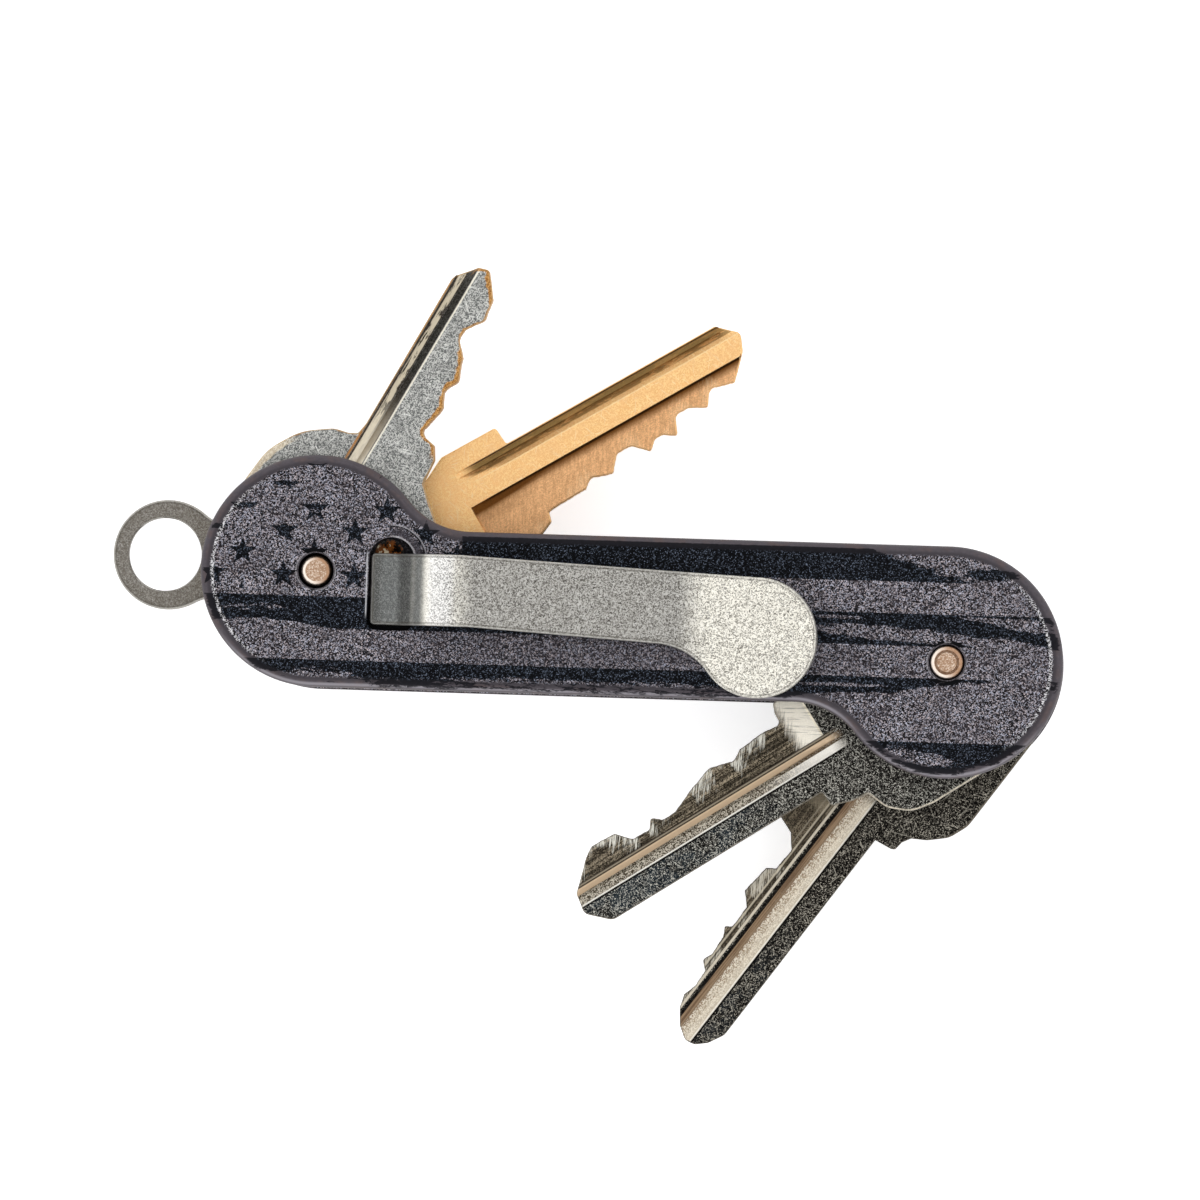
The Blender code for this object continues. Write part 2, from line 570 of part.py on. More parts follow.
def make_loop(parts, cutters, colour):
    """Stamped plate that turns on the left post and holds a split ring in its eye."""
    outline = waisted_outline(LOOP_REACH, LOOP_RADIUS, LOOP_EAR_RADIUS, LOOP_NECK_HALF, LOOP_NECK_ROUND)
    loop = link("anchor_loop", plate_mesh("anchor_loop", outline, LOOP_THICK), parts, colour)
    loop.location = (*LEFT_POST, layer_floor(0) + LOOP_THICK / 2)
    loop.rotation_euler.z = math.radians(LOOP_ANGLE)
    rim_bevel(loop, LOOP_EDGE, 1)
    hole = prism("loop_post_cutter", RING_SEGMENTS, POST_RADIUS + POST_FIT, -LOOP_THICK, LOOP_THICK, cutters,
                 loop.location)
    boolean(loop, as_cutter(hole))
    turn = math.radians(LOOP_ANGLE)
    eye_x = LEFT_POST[0] + LOOP_EYE_REACH * math.cos(turn)
    eye_y = LEFT_POST[1] + LOOP_EYE_REACH * math.sin(turn)
    eye = prism("loop_eye_cutter", BORE_SEGMENTS, LOOP_EYE_RADIUS, -LOOP_THICK, LOOP_THICK, cutters,
                (eye_x, eye_y, loop.location.z))
    boolean(loop, as_cutter(eye))
    return loop


def groove_cutter(name, groove, thick, reach, upper, group):
    """Milled keyway: a trapezoid section that runs in from the tip and lifts out on the cutter's arc."""
    face = thick / 2
    wall, floor, ridge = (groove[k] * MM for k in ("wall", "floor", "ridge"))
    depth = groove["depth"] * MM
    slope = (ridge - floor) / depth
    out = ridge + slope * BEYOND
    section = [(wall, BEYOND), (wall, -depth), (floor, -depth), (out, BEYOND)]
    lift = depth + BEYOND / 2
    run = math.sqrt(2 * GROOVE_RUN_RADIUS * lift)
    start = groove["end"] * MM - (run - math.sqrt(2 * GROOVE_RUN_RADIUS * depth))
    path = [(reach + BEYOND, 0.0)]
    steps = 9
    path += [(start + run * (1 - i / steps), lift * (i / steps) ** 2) for i in range(steps + 1)]
    mesh = bpy.data.meshes.new(name)
    built = bmesh.new()
    rings = []
    for u, rise in path:
        level = [(u, v, face + z + rise) for v, z in section]
        if not upper:
            level = [(x, y, -z) for x, y, z in level]
        rings.append([built.verts.new(point) for point in level])
    for ring, following in zip(rings, rings[1:]):
        for i in range(len(section)):
            j = (i + 1) % len(section)
            built.faces.new((ring[i], ring[j], following[j], following[i]))
    built.faces.new(list(reversed(rings[0])))
    built.faces.new(rings[-1])
    bmesh.ops.recalc_face_normals(built, faces=built.faces)
    built.to_mesh(mesh)
    built.free()
    return as_cutter(link(name, mesh, group))


def step_cutter(name, step, thick, reach, group):
    """Shallow milled step along the cut edge, with a square end at the head."""
    far = -LOBE_RADIUS
    corners = [(step["end"] * MM, far), (reach + BEYOND, far), (reach + BEYOND, step["top"] * MM),
               (step["end"] * MM, step["top"] * MM)]
    deep = step["depth"] * MM
    cutter = link(name, plate_mesh(name, corners, BEYOND + deep), group)
    cutter.data.transform(Matrix.Translation((0.0, 0.0, thick / 2 + (BEYOND - deep) / 2)))
    return as_cutter(cutter)


def make_key(key, post, layer, parts, cutters, colour):
    """Flat key cut from sheet: head, shoulders, bitted blade, milled keyways and a hole for the post."""
    name, thick = key["name"], key["thick"]
    item = link(name, plate_mesh(name, key_outline(key), thick), parts, colour)
    rim_bevel(item, KEY_EDGE, 1)
    reach = max(u for u, _, _ in key["tip"]) * MM
    tools = [prism(name + "_hole_cutter", RING_SEGMENTS, POST_RADIUS + POST_FIT, -thick, thick, cutters,
                   (0.0, 0.0, 0.0)),
             groove_cutter(name + "_groove_cutter", key["groove"], thick, reach, True, cutters),
             groove_cutter(name + "_back_groove_cutter", key["back_groove"], thick, reach, False, cutters)]
    if "step" in key:
        tools.append(step_cutter(name + "_step_cutter", key["step"], thick, reach, cutters))
    middle = layer_floor(layer) + LAYERS[layer] / 2
    for thing in [item] + tools:
        thing.location = (*post, middle)
        thing.rotation_euler.z = math.radians(key["angle"])
    for tool in tools:
        boolean(item, as_cutter(tool))
    return item


def clip_path():
    """Side view of the clip's middle line: root, ramp, crest, blade down to the face, raised tip."""
    half = CLIP_THICK / 2
    face = FACE - CLIP_PIVOT_Z
    tip = PADDLE_X + PADDLE_RADIUS - CLIP_ROOT_X
    return rounded([(-CLIP_ROOT_LEFT - BEYOND, half, 0),
                    (CLIP_RAMP_START, half, CLIP_RAMP_ROUND),
                    (CLIP_CREST_START, face + CLIP_CREST_GAP + half, CLIP_CREST_ROUND),
                    (CLIP_TOUCH_X, face + CLIP_TOUCH_GAP + half, CLIP_TOUCH_ROUND),
                    (tip + BEYOND, face + CLIP_TOUCH_GAP + CLIP_TIP_RISE + half, 0)], closed=False)


def thicken(path, thick):
    """Closed outline of a strip of even thickness along a path."""
    above, below = [], []
    for i, (x, z) in enumerate(path):
        before, after = path[max(i - 1, 0)], path[min(i + 1, len(path) - 1)]
        dx, dz = after[0] - before[0], after[1] - before[1]
        length = math.hypot(dx, dz)
        nx, nz = -dz / length * thick / 2, dx / length * thick / 2
        above.append((x + nx, z + nz))
        below.append((x - nx, z - nz))
    return below + above[::-1]


def clip_neck():
    """Centre of the hollow arc under the paddle, tangent to the blade's lower edge and to the paddle.

    It lies the neck's radius under that edge and both radii away from the paddle's centre.
    """
    along = (math.cos(CLIP_LOW_LEAN), -math.sin(CLIP_LOW_LEAN))
    up = (-along[1], along[0])
    reach = (PADDLE_X - CLIP_LOW_BEND_X, PADDLE_Y - CLIP_ROOT_BOTTOM)
    height = reach[0] * up[0] + reach[1] * up[1] + PADDLE_NECK_ROUND
    back = math.sqrt((PADDLE_RADIUS + PADDLE_NECK_ROUND) ** 2 - height ** 2)
    return (PADDLE_X - back * along[0] - height * up[0], PADDLE_Y - back * along[1] - height * up[1])


def clip_plan():
    """Top view of the clip: straight root, blade that leans a little, round paddle set to one side."""
    left = CLIP_ROOT_X - CLIP_ROOT_LEFT
    lean = math.atan2(PADDLE_Y + PADDLE_RADIUS - CLIP_ROOT_TOP, PADDLE_X - CLIP_TOP_BEND_X)
    neck = clip_neck()
    touch = math.atan2(neck[1] - PADDLE_Y, neck[0] - PADDLE_X)
    paddle = arc((PADDLE_X, PADDLE_Y), PADDLE_RADIUS, math.pi / 2 + lean, touch)
    hollow = arc(neck, PADDLE_NECK_ROUND, touch + math.pi, math.pi / 2 - CLIP_LOW_LEAN)
    root = [(hollow[-1][0], hollow[-1][1], 0), (CLIP_LOW_BEND_X, CLIP_ROOT_BOTTOM, 0),
            (left, CLIP_ROOT_BOTTOM, CLIP_ROOT_ROUND), (left, CLIP_ROOT_TOP, CLIP_ROOT_ROUND),
            (CLIP_TOP_BEND_X, CLIP_ROOT_TOP, 0)]
    outline = paddle[:-1] + hollow[:-1] + rounded(root, closed=False)
    return list(reversed(outline))


def make_clip(parts, cutters, colour):
    """Spring clip: the bent strip from the side view, trimmed to the top view."""
    wide = 4 * PADDLE_RADIUS
    mesh = plate_mesh("pocket_clip", thicken(clip_path(), CLIP_THICK), wide)
    mesh.transform(Matrix.Rotation(math.pi / 2, 4, "X"))
    clip = link("pocket_clip", mesh, parts, colour)
    clip.location = (CLIP_ROOT_X, 0.0, CLIP_PIVOT_Z)
    tall = 4 * (FACE - CLIP_PIVOT_Z + CLIP_CREST_GAP + CLIP_THICK)
    plan = link("clip_plan_cutter", plate_mesh("clip_plan_cutter", clip_plan(), tall), cutters)
    plan.location.z = CLIP_PIVOT_Z
    boolean(clip, as_cutter(plan), "INTERSECT")
    socket = prism("clip_socket_cutter", RING_SEGMENTS, RIVET_RADIUS + RIVET_FIT, -BEYOND,
                   RIVET_BITE + RIVET_FIT, cutters, (CLIP_ROOT_X, RIVET_Y, CLIP_PIVOT_Z))
    boolean(clip, as_cutter(socket))
    return clip


def make_clip_rivet(parts, colour):
    """Countersunk rivet that holds the clip's root from inside the front scale."""
    head = FRONT_INNER + RUN
    deep = FRONT_INNER + RIVET_HEAD_DEPTH
    top = CLIP_PIVOT_Z + RIVET_BITE
    profile = [(0.0, top), (RIVET_RADIUS, top), (RIVET_RADIUS, deep), (RIVET_HEAD_RADIUS, head + RIVET_FIT),
               (RIVET_HEAD_RADIUS, head), (0.0, head)]
    turned("clip_rivet", profile, parts, (CLIP_ROOT_X, RIVET_Y, 0.0), RING_SEGMENTS, colour)


def build():
    clear_scene()
    parts = new_collection("key_organizer")
    cutters = new_collection("cutters")

    grey = material("mauve_grey_coating", (0.10, 0.09, 0.10), 0.45, 0.3)
    steel = material("steel", (0.52, 0.52, 0.50), 0.3, 1.0)
    copper = material("copper_tinted_steel", (0.60, 0.45, 0.34), 0.35, 1.0)
    nickel = material("nickel_plate", (0.42, 0.42, 0.40), 0.4, 1.0)
    brass = material("brass", (0.62, 0.40, 0.16), 0.35, 1.0)
    nylon = material("nylon", (0.75, 0.75, 0.72), 0.5, 0.0)
    bronze = material("bronze_washer", (0.45, 0.30, 0.18), 0.4, 1.0)

    make_back_scale(parts, cutters, grey)
    make_front_scale(parts, cutters, grey)
    for side, post, sink in (("left", LEFT_POST, LEFT_POST_SINK), ("right", RIGHT_POST, RIGHT_POST_SINK)):
        make_post(side, post, sink, parts, copper)
        make_lock_nut(side, post, parts, cutters, steel, nylon)
        make_washers(side, post, parts, bronze)

    make_key(REAR_KEY, RIGHT_POST, 0, parts, cutters, nickel)
    make_key(BRASS_KEY, LEFT_POST, 1, parts, cutters, brass)
    make_key(FRONT_KEY, RIGHT_POST, 2, parts, cutters, nickel)
    make_key(SMALL_KEY, LEFT_POST, 3, parts, cutters, nickel)
    make_loop(parts, cutters, steel)
    shim_floor = layer_floor(0) + LOOP_THICK + RUN
    make_spacer("left_shim", LEFT_POST, shim_floor, SHIM_THICK, parts, steel)
    make_spacer("left_spacer", LEFT_POST, layer_floor(2), LAYERS[2], parts, steel)
    make_spacer("right_rear_spacer", RIGHT_POST, layer_floor(1), LAYERS[1], parts, steel)
    make_spacer("right_front_spacer", RIGHT_POST, layer_floor(3), LAYERS[3], parts, steel)

    make_clip(parts, cutters, steel)
    make_clip_rivet(parts, steel)
    bpy.context.view_layer.update()


build()
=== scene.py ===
"""Pocket key organizer: the looks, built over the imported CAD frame.

Shapes are worked out in millimetres with numpy and put into meshes in metres, in the frame's own
coordinates: the handle along X, the clip side up, the back face on z = 0.
"""
import math

import bmesh
import bpy
import numpy as np
from bpy.props import FloatProperty, FloatVectorProperty, IntProperty, PointerProperty
from mathutils import Matrix, Vector


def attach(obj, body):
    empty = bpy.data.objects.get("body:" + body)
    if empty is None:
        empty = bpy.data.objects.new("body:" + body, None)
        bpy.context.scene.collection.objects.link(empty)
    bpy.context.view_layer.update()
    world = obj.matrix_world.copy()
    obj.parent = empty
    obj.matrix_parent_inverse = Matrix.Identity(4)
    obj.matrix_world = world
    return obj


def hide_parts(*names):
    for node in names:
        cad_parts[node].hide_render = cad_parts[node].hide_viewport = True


bl_info = {
    "name": "Key organizer",
    "version": (1, 0, 0),
    "blender": (4, 5, 0),
    "location": "3D View > Sidebar > Key organizer",
    "description": "Printed scales, posts, cut keys, ring loop and spring clip of a pocket key organizer",
    "category": "Object",
}

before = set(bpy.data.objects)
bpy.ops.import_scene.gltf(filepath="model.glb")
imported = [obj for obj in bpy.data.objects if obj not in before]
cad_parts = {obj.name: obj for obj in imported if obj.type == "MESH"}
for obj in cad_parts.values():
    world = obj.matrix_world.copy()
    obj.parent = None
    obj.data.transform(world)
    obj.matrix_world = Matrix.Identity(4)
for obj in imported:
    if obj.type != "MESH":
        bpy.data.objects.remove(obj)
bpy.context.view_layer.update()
MM = 0.001

# Handle, in millimetres: the same named sizes as the CAD source
LEFT_POST = np.array([-32.2, 3.675])
RIGHT_POST = -LEFT_POST
POSTS = (("left", LEFT_POST), ("right", RIGHT_POST))
LOBE_RADIUS, NECK_RADIUS, BAR_TOP = 11.8, 8.3, 8.125
SCALE_THICK, FRONT_INNER, FACE = 3.2, 14.1, 17.3
POST_RADIUS, POST_FIT = 1.7, 0.1
BORE_RADIUS = POST_RADIUS + POST_FIT
RELIEF_RADIUS, BORE_CHAMFER = 1.94, 0.12
STUD_RADIUS, NUT_RADIUS, NUT_POCKET_DEPTH = 1.45, 2.75 / math.cos(math.pi / 6), 2.4
POST_SHOULDER, STUD_FOOT, STUD_BREAK = 3.25, 0.3, 0.25
LEFT_SINK, RIGHT_SINK = 0.45, 0.1
LAYER_FLOORS = (3.7, 6.3, 9.0, 11.6)
LAYER_THICK = (2.1, 2.2, 2.1, 2.0)
WASHER_FLOORS = (3.25, 5.85, 8.55, 11.15, 13.65)
WASHER_RADIUS, WASHER_THICK, SPACER_RADIUS = 4.5, 0.4, 4.0
SHIM_FLOOR, SHIM_TOP = 5.25, 5.8

# How far a cutter reaches past a face, and how far below the face one in the clip's window starts
PAST, BELOW = 1, 0.5

# Loop plate for a split ring
LOOP_ANGLE, LOOP_THICK, LOOP_REACH, LOOP_RADIUS = 174.8, 1.5, 16.1, 5.63
LOOP_EYE_REACH, LOOP_EYE_RADIUS, LOOP_EDGE = 16.4, 3.74, 0.22
LOOP_NECK_HALF, LOOP_NECK_ROUND, LOOP_EAR_RADIUS = 3.7, 5.0, 5.2

# Spring clip and the window it stands in
CLIP_THICK, CLIP_ROOT_X, CLIP_ROOT_LEFT = 1.1, -24.9, 1.65
CLIP_ROOT_TOP, CLIP_ROOT_BOTTOM, CLIP_PIVOT_Z = 5.64, -1.64, 16.1
CLIP_TOP_START, CLIP_LOW_START, CLIP_CORNER = -17.4, -16.4, 0.4
PADDLE, PADDLE_RADIUS = np.array([12.9, -1.82]), 6.14
NECK_ROUND, LOW_LEAN = 7.0, math.radians(3.2)
WINDOW_LEFT, WINDOW_WIDTH, WINDOW_TOP, WINDOW_BOTTOM = -26.83, 4.65, 7.3, -2.19
WINDOW_DEPTH, WINDOW_CORNER, LEDGE_WIDTH, LEDGE_DEPTH = 1.5, 1.0, 1.15, 0.2
WINDOW_MIDDLE = (WINDOW_LEFT + WINDOW_WIDTH / 2, WINDOW_TOP - WINDOW_WIDTH / 2)
ROUND_SHARE = 0.98
DRAIN, DRAIN_RADIUS = (-24.87, 5.67), 1.5
RIVET, RIVET_HOLE, RIVET_HEAD = (-24.9, 1.2), 1.2, 2.1

# Rows across the flat pieces, as distances in from both edges, and rings over a scale's face
KEY_RIMS = np.array([0, .025, .06, .1, .17, .26])
LOOP_RIMS = np.array([0, .03, .07, .13, .2, .3])
CLIP_RIMS = np.array([0, .02, .06, .12, .2, .3, .42, .6])
FACE_RINGS = [1.5, 1.8, 2.2]

# Grain sizes of the coating, the tumbled steel and the post ends
COAT_GRAIN, STEEL_GRAIN, POST_GRAIN = 0.108, 0.105, 0.12

# Print on the front scale: stripes counted down from the top, a corner of stars with its right and lower
# limits, on two lattices given as (first star, spacing), and the torn places as (centre, reach, slope,
# strength)
STRIPE_TOP, STRIPE_PERIOD = 7.66, 6.5
STAR_POINT, STAR_HOLLOW, CORNER_RIGHT, CORNER_LOW = 1.42, 0.56, -17.4, 1.09
STAR_LATTICES = (((-32.42, 5.45), (7.28, 4.5)), ((-28.3, 3.2), (7.2, 4.5)))
TEAR_LEAN, TEAR_LIMIT = -3, 1.1
TEARS = [
    ((26.5, -.95), (11, 1.0), -.053, 3.2), ((39, -2.2), (6.5, 1.3), -.14, 3.2),
    ((40.4, .2), (5, .85), -.1, 2.6), ((21.2, .6), (3.4, .26), 0, 2.4), ((36.5, .7), (4, .35), -.06, 2.2),
    ((21.5, -6.25), (6, .26), 0, 2.6), ((35.5, -8.1), (12.5, 3.1), .03, 4.2),
    ((24, -8.5), (10.5, 1.75), 0, 7), ((39.5, -5.3), (5, .65), -.08, 3.0),
    ((36.6, -6.1), (3.6, .28), -.1, 2.2), ((29.5, -13.4), (6, 1.1), -.12, 2.3),
    ((36.5, -14.7), (4, 1), .1, 2.2), ((-38.6, -2.2), (6.5, 1.2), 0, 2.7),
    ((-33.5, -2), (4, .5), -.1, 2.0), ((-38, -.2), (5, .6), 0, 1.2), ((-33, -7.6), (9, 1.8), 0, 2.6),
    ((-4, -7.2), (26, .8), 0, 1.8), ((-34, 13), (14, 6), 0, 0.7), ((-32.4, 11.2), (1.7, .75), 0, 8),
    ((-35.5, 8.9), (1.7, .7), 0, 8), ((-36.4, 6.7), (1.1, .6), 0, 8), ((-39.8, 11.1), (1.7, .8), 0, 8),
    ((-39.8, 9.2), (1.7, .75), 0, 8), ((-42.7, 8.9), (1.7, .8), 0, 8), ((-42.7, 7), (1.7, .8), 0, 8),
    ((-28.3, 12.5), (2.4, 2.1), 0, 6), ((-35.5, 13.6), (1.8, .9), 0, 8), ((-35.6, 11.2), (1.9, .8), 0, 8),
    ((-32.4, 15.3), (2, .9), 0, 8), ((-32.4, 13.6), (2, .9), 0, 8)]

# Bands along the clip where it is bent, painted darker or paler as shade and highlight for how each bend
# faces the light: (start, end, softness, colour, strength)
CLIP_BEND_SHADE_AND_HIGHLIGHT = [
    (-27.0, -22.2, 0.4, (66, 69, 69), .95), (-25.5, -23.6, 0.5, (114, 117, 115), .75),
    (-22.3, -21.0, 0.5, (96, 100, 100), .9), (-20.6, -18.0, 0.6, (255, 254, 250), .9),
    (-17.4, 6.2, 1.8, (163, 161, 154), .95)]

# Camera: the direction back to it, the point it looks at, lens and sensor width
CAMERA_BACK, CAMERA_AIM = (0.042, -0.022, 1.0), (-3.171, 1.554, 17.7)
CAMERA_LENS, CAMERA_SENSOR = 354.6, 36.0
FLOOR_HEIGHT, FLOOR_GLOW = -0.05, 0.42

# Keys: u runs along the blade from the post, v across it with the cut edge on the -v side, and a corner is
# (u, v, radius). The groove and the back's groove are (wall, floor line, ridge, depth, end by the head), the
# milled step is (line, depth, end by the head), and a tint along the groove is (low v, high v, colour,
# strength) with its kind where it isn't plain. Besides dirt and wear, the tints hold painted light: dark
# lines of painted shade along walls and steps, and pale lines of painted highlight along ridges and edges.
KEYS = {
    "small": dict(
        node="small_nickel_key", body="small_key", slot="nickel",
        pin=LEFT_POST, layer=3, angle=60.95, seed=1.0,
        head=[(15.4, 3.55, .5), (14.2, 3.75, .4), (13.75, 4.6, .8), (13.4, 6.1, 2.5), (11.4, 8.9, 6),
              (8.1, 10.85, 6), (4.4, 11.25, 6), (-1, 11.25, 6), (-9.6, 11.25, 9), (-9.6, -11.3, 9),
              (4, -11.3, 5), (8.6, -9.9, 5), (11.2, -6.8, 3), (13.1, -4.6, 1.2), (15.8, -4.4, .5),
              (17.1, -3.6, .3)],
        bitting=[(17.3, -2.4, .3), (17.75, -1.8, .5), (18.8, -2.1, .8), (20.8, -2.45, .5),
                 (22.4, -1.6, .9), (23.9, -2.4, .4), (26.3, -1.5, .4), (27.7, -.25, .8),
                 (28.8, -.25, .8), (30.7, -1.5, .5)],
        tip=[(32.9, -1.15, .4), (34.2, -.2, .6), (35.35, .75, .4), (35, 1.85, .3), (33.2, 3.4, .2),
             (32.6, 3.6, .3)],
        groove=(3.4, 2.45, 1.65, .65, 9.5), back=(-1, -.2, .6, .6, 14.5), step=None,
        # Painted light among these: the dark slope from 1.75 to 2.45 is painted shade, the pale ridge line
        # painted highlight
        keyway_tints_and_light=[(2.45, 3.38, (44, 34, 24), .9), (2.6, 3.2, (222, 210, 184), .85, "patchy"),
               (1.75, 2.45, (38, 34, 26), .85), (1.8, 3.2, (232, 222, 200), .85, "rooted"),
               (1.54, 1.72, (252, 246, 228), .9), (3.4, 3.64, (176, 122, 62), .85)],
    ),
    "brass": dict(
        node="brass_key", body="yellow_key", slot="brass",
        pin=LEFT_POST, layer=1, angle=31.15, seed=2.0,
        head=[(22.95, 2.2, .3), (22.8, 4.2, .3), (16.45, 4.25, .6), (14.2, 3.1, 1.2), (11.6, 2.3, 1.5),
              (9.6, 7.2, 3), (4.5, 8.6, 5), (-9, 8.6, 8.5), (-9, -11.1, 9), (6.5, -11.1, 5),
              (11.3, -6.3, 2.5), (14.2, -6.4, 1.2), (16.5, -7.7, .8), (21.6, -7.65, .8), (23.1, -7, .4)],
        bitting=[(23.35, -5.95, .3), (27.8, -5.8, .4), (28.75, -5.05, .8), (31, -5.8, .3),
                 (32.3, -4.2, .6), (34, -4.2, .8), (35.5, -5.75, .3), (36.4, -4.8, .6),
                 (37.3, -4.8, .6), (38.65, -5.65, .3), (39.5, -3.7, .7), (41, -3.7, .8),
                 (42.75, -4.65, .3), (43.9, -3.05, .8)],
        tip=[(46.4, -3.8, .4), (48.75, -1.4, 1.2), (49.45, .35, .6), (47.5, 2.2, .5)],
        groove=(2.05, 1.5, .45, .75, 16.9), back=(-.6, -1.4, -2.4, .7, 17.5),
        step=(-1.75, .45, 16.7),
        # Painted light among these: the dark lines at the wall and under the step and the band below the step
        # are painted shade, the pale ridge line painted highlight
        keyway_tints_and_light=[(1.4, 1.95, (132, 98, 50), .85), (1.94, 2.1, (52, 32, 12), .9),
               (.9, 1.5, (214, 160, 98), .6), (.34, .46, (255, 236, 188), .35),
               (-1.98, -1.74, (44, 26, 10), .9), (.9, 1.9, (112, 94, 56), .55, "patchy"),
               (-2.5, -1.9, (96, 58, 26), .55, "rooted")],
    ),
    "front": dict(
        node="front_nickel_key", body="front_key", slot="nickel",
        pin=RIGHT_POST, layer=2, angle=213.25, seed=3.0,
        head=[(17.72, 4.5, .3), (17.72, 6.18, .3), (15.6, 6.86, .6), (13.85, 7.1, .3), (13, 9.3, 2.5),
              (11, 11, 3), (8.6, 11.4, 3), (-8, 11.4, 9), (-8, -10.8, 9), (9.5, -10.8, 4),
              (13.6, -8.4, 3), (13.8, -6.6, .5), (15.6, -6.3, .6), (17.35, -5.8, .3)],
        bitting=[(17.75, -4.8, .3), (17.65, -4.1, .3), (18.1, -3.6, .4), (19.6, -3.85, 1),
                 (22.6, -3.6, .8), (23.8, -2.9, .8), (26.3, -3.6, .5), (28.9, -2.75, .8),
                 (31.6, -1.6, .9), (33.1, -1.55, .5), (34.1, -2.4, .25), (34.8, -1.4, .5),
                 (36.8, -1.5, .8), (38.1, -2.95, .4)],
        tip=[(40.8, -3.05, .3), (41.8, -2.35, .4), (44.6, .3, .8), (44.95, 2.45, .9), (42.8, 4.5, 1)],
        groove=(1.75, .9, .08, .65, 12.2), back=(-.8, -1.5, -2.2, .65, 15.0),
        step=(-.35, .25, 14.6),
        # Painted light among these: the white and black lines at the wall are painted highlight and shade,
        # the dark line at the ridge painted shade, and the tan slope painted as lit
        keyway_tints_and_light=[(.55, 1.7, (78, 70, 58), .9), (.55, 1.7, (222, 214, 196), .75, "speckled"),
               (-.04, .58, (218, 192, 160), .95), (.9, 1.7, (252, 248, 238), .9, "rooted"),
               (.5, .9, (110, 86, 60), .6, "rooted"), (-.42, 0, (66, 57, 46), .9),
               (-.3, -.16, (176, 164, 142), .6), (1.6, 1.76, (255, 252, 244), .9),
               (1.79, 1.95, (8, 7, 7), .95)],
    ),
    "rear": dict(
        node="rear_nickel_key", body="rear_key", slot="nickel",
        pin=RIGHT_POST, layer=0, angle=234.05, seed=4.0,
        head=[(18.55, 5.1, .3), (18.7, 6.65, .3), (18.35, 7.3, .3), (17.35, 7.4, .3), (16.45, 7.9, .4),
              (15.6, 9.3, 1.5), (14, 10.95, 2.5), (11.9, 11.75, 3), (-8, 11.75, 9.3), (-8, -11.5, 9.3),
              (10.5, -11.5, 4.5), (16.1, -8.7, 4), (17, -7, .5), (18.7, -6.8, .5), (18.7, -4.6, .3)],
        bitting=[(22.7, -4.5, .4), (23.5, -2.2, .3), (24.9, -1.05, .4), (27.3, -1.15, .3),
                 (27.9, -2, .3), (31.1, -2.3, .3), (32.3, -1.1, .4), (34.8, -1.05, .3),
                 (35.2, -1.7, .2), (36.2, -1.15, .4), (38.3, -1, .6), (39.3, -1.35, .2),
                 (40.1, -.5, .4), (41.8, -.35, .5)],
        tip=[(43.3, -.7, .3), (44.6, -.25, .4), (46.1, .9, .6), (46.95, 2.2, .7), (46.7, 3.3, .8),
             (45.7, 4.3, 1), (44.1, 5.1, 1.2)],
        groove=(2.74, 1.15, .1, .65, 14.5), back=(3.4, 2.6, 1.8, .5, 16), step=(-.35, .3, 17.2),
        # Painted light among these: the white and black lines at the wall are painted highlight and shade,
        # the black line by the ridge painted shade
        keyway_tints_and_light=[(.85, 1.45, (150, 128, 104), .9), (1.4, 1.95, (184, 168, 144), .9),
               (1.9, 2.65, (224, 212, 190), .9), (1.1, 2.5, (140, 124, 104), .3, "patchy"),
               (1.1, 2.5, (240, 232, 214), .75, "speckled"), (.4, .85, (124, 100, 78), .9),
               (.4, .95, (172, 146, 116), .6, "drawn"), (.1, .42, (14, 12, 11), .9),
               (-.36, -.08, (214, 204, 184), .9), (-.75, -.6, (60, 54, 46), .8),
               (-.98, -.8, (200, 190, 168), .75), (-1.5, -1.38, (176, 166, 146), .5),
               (2.58, 2.76, (255, 250, 238), .9), (2.78, 2.96, (8, 7, 7), .95)],
    ),
}
GROOVE_RUN_RADIUS = 22.0

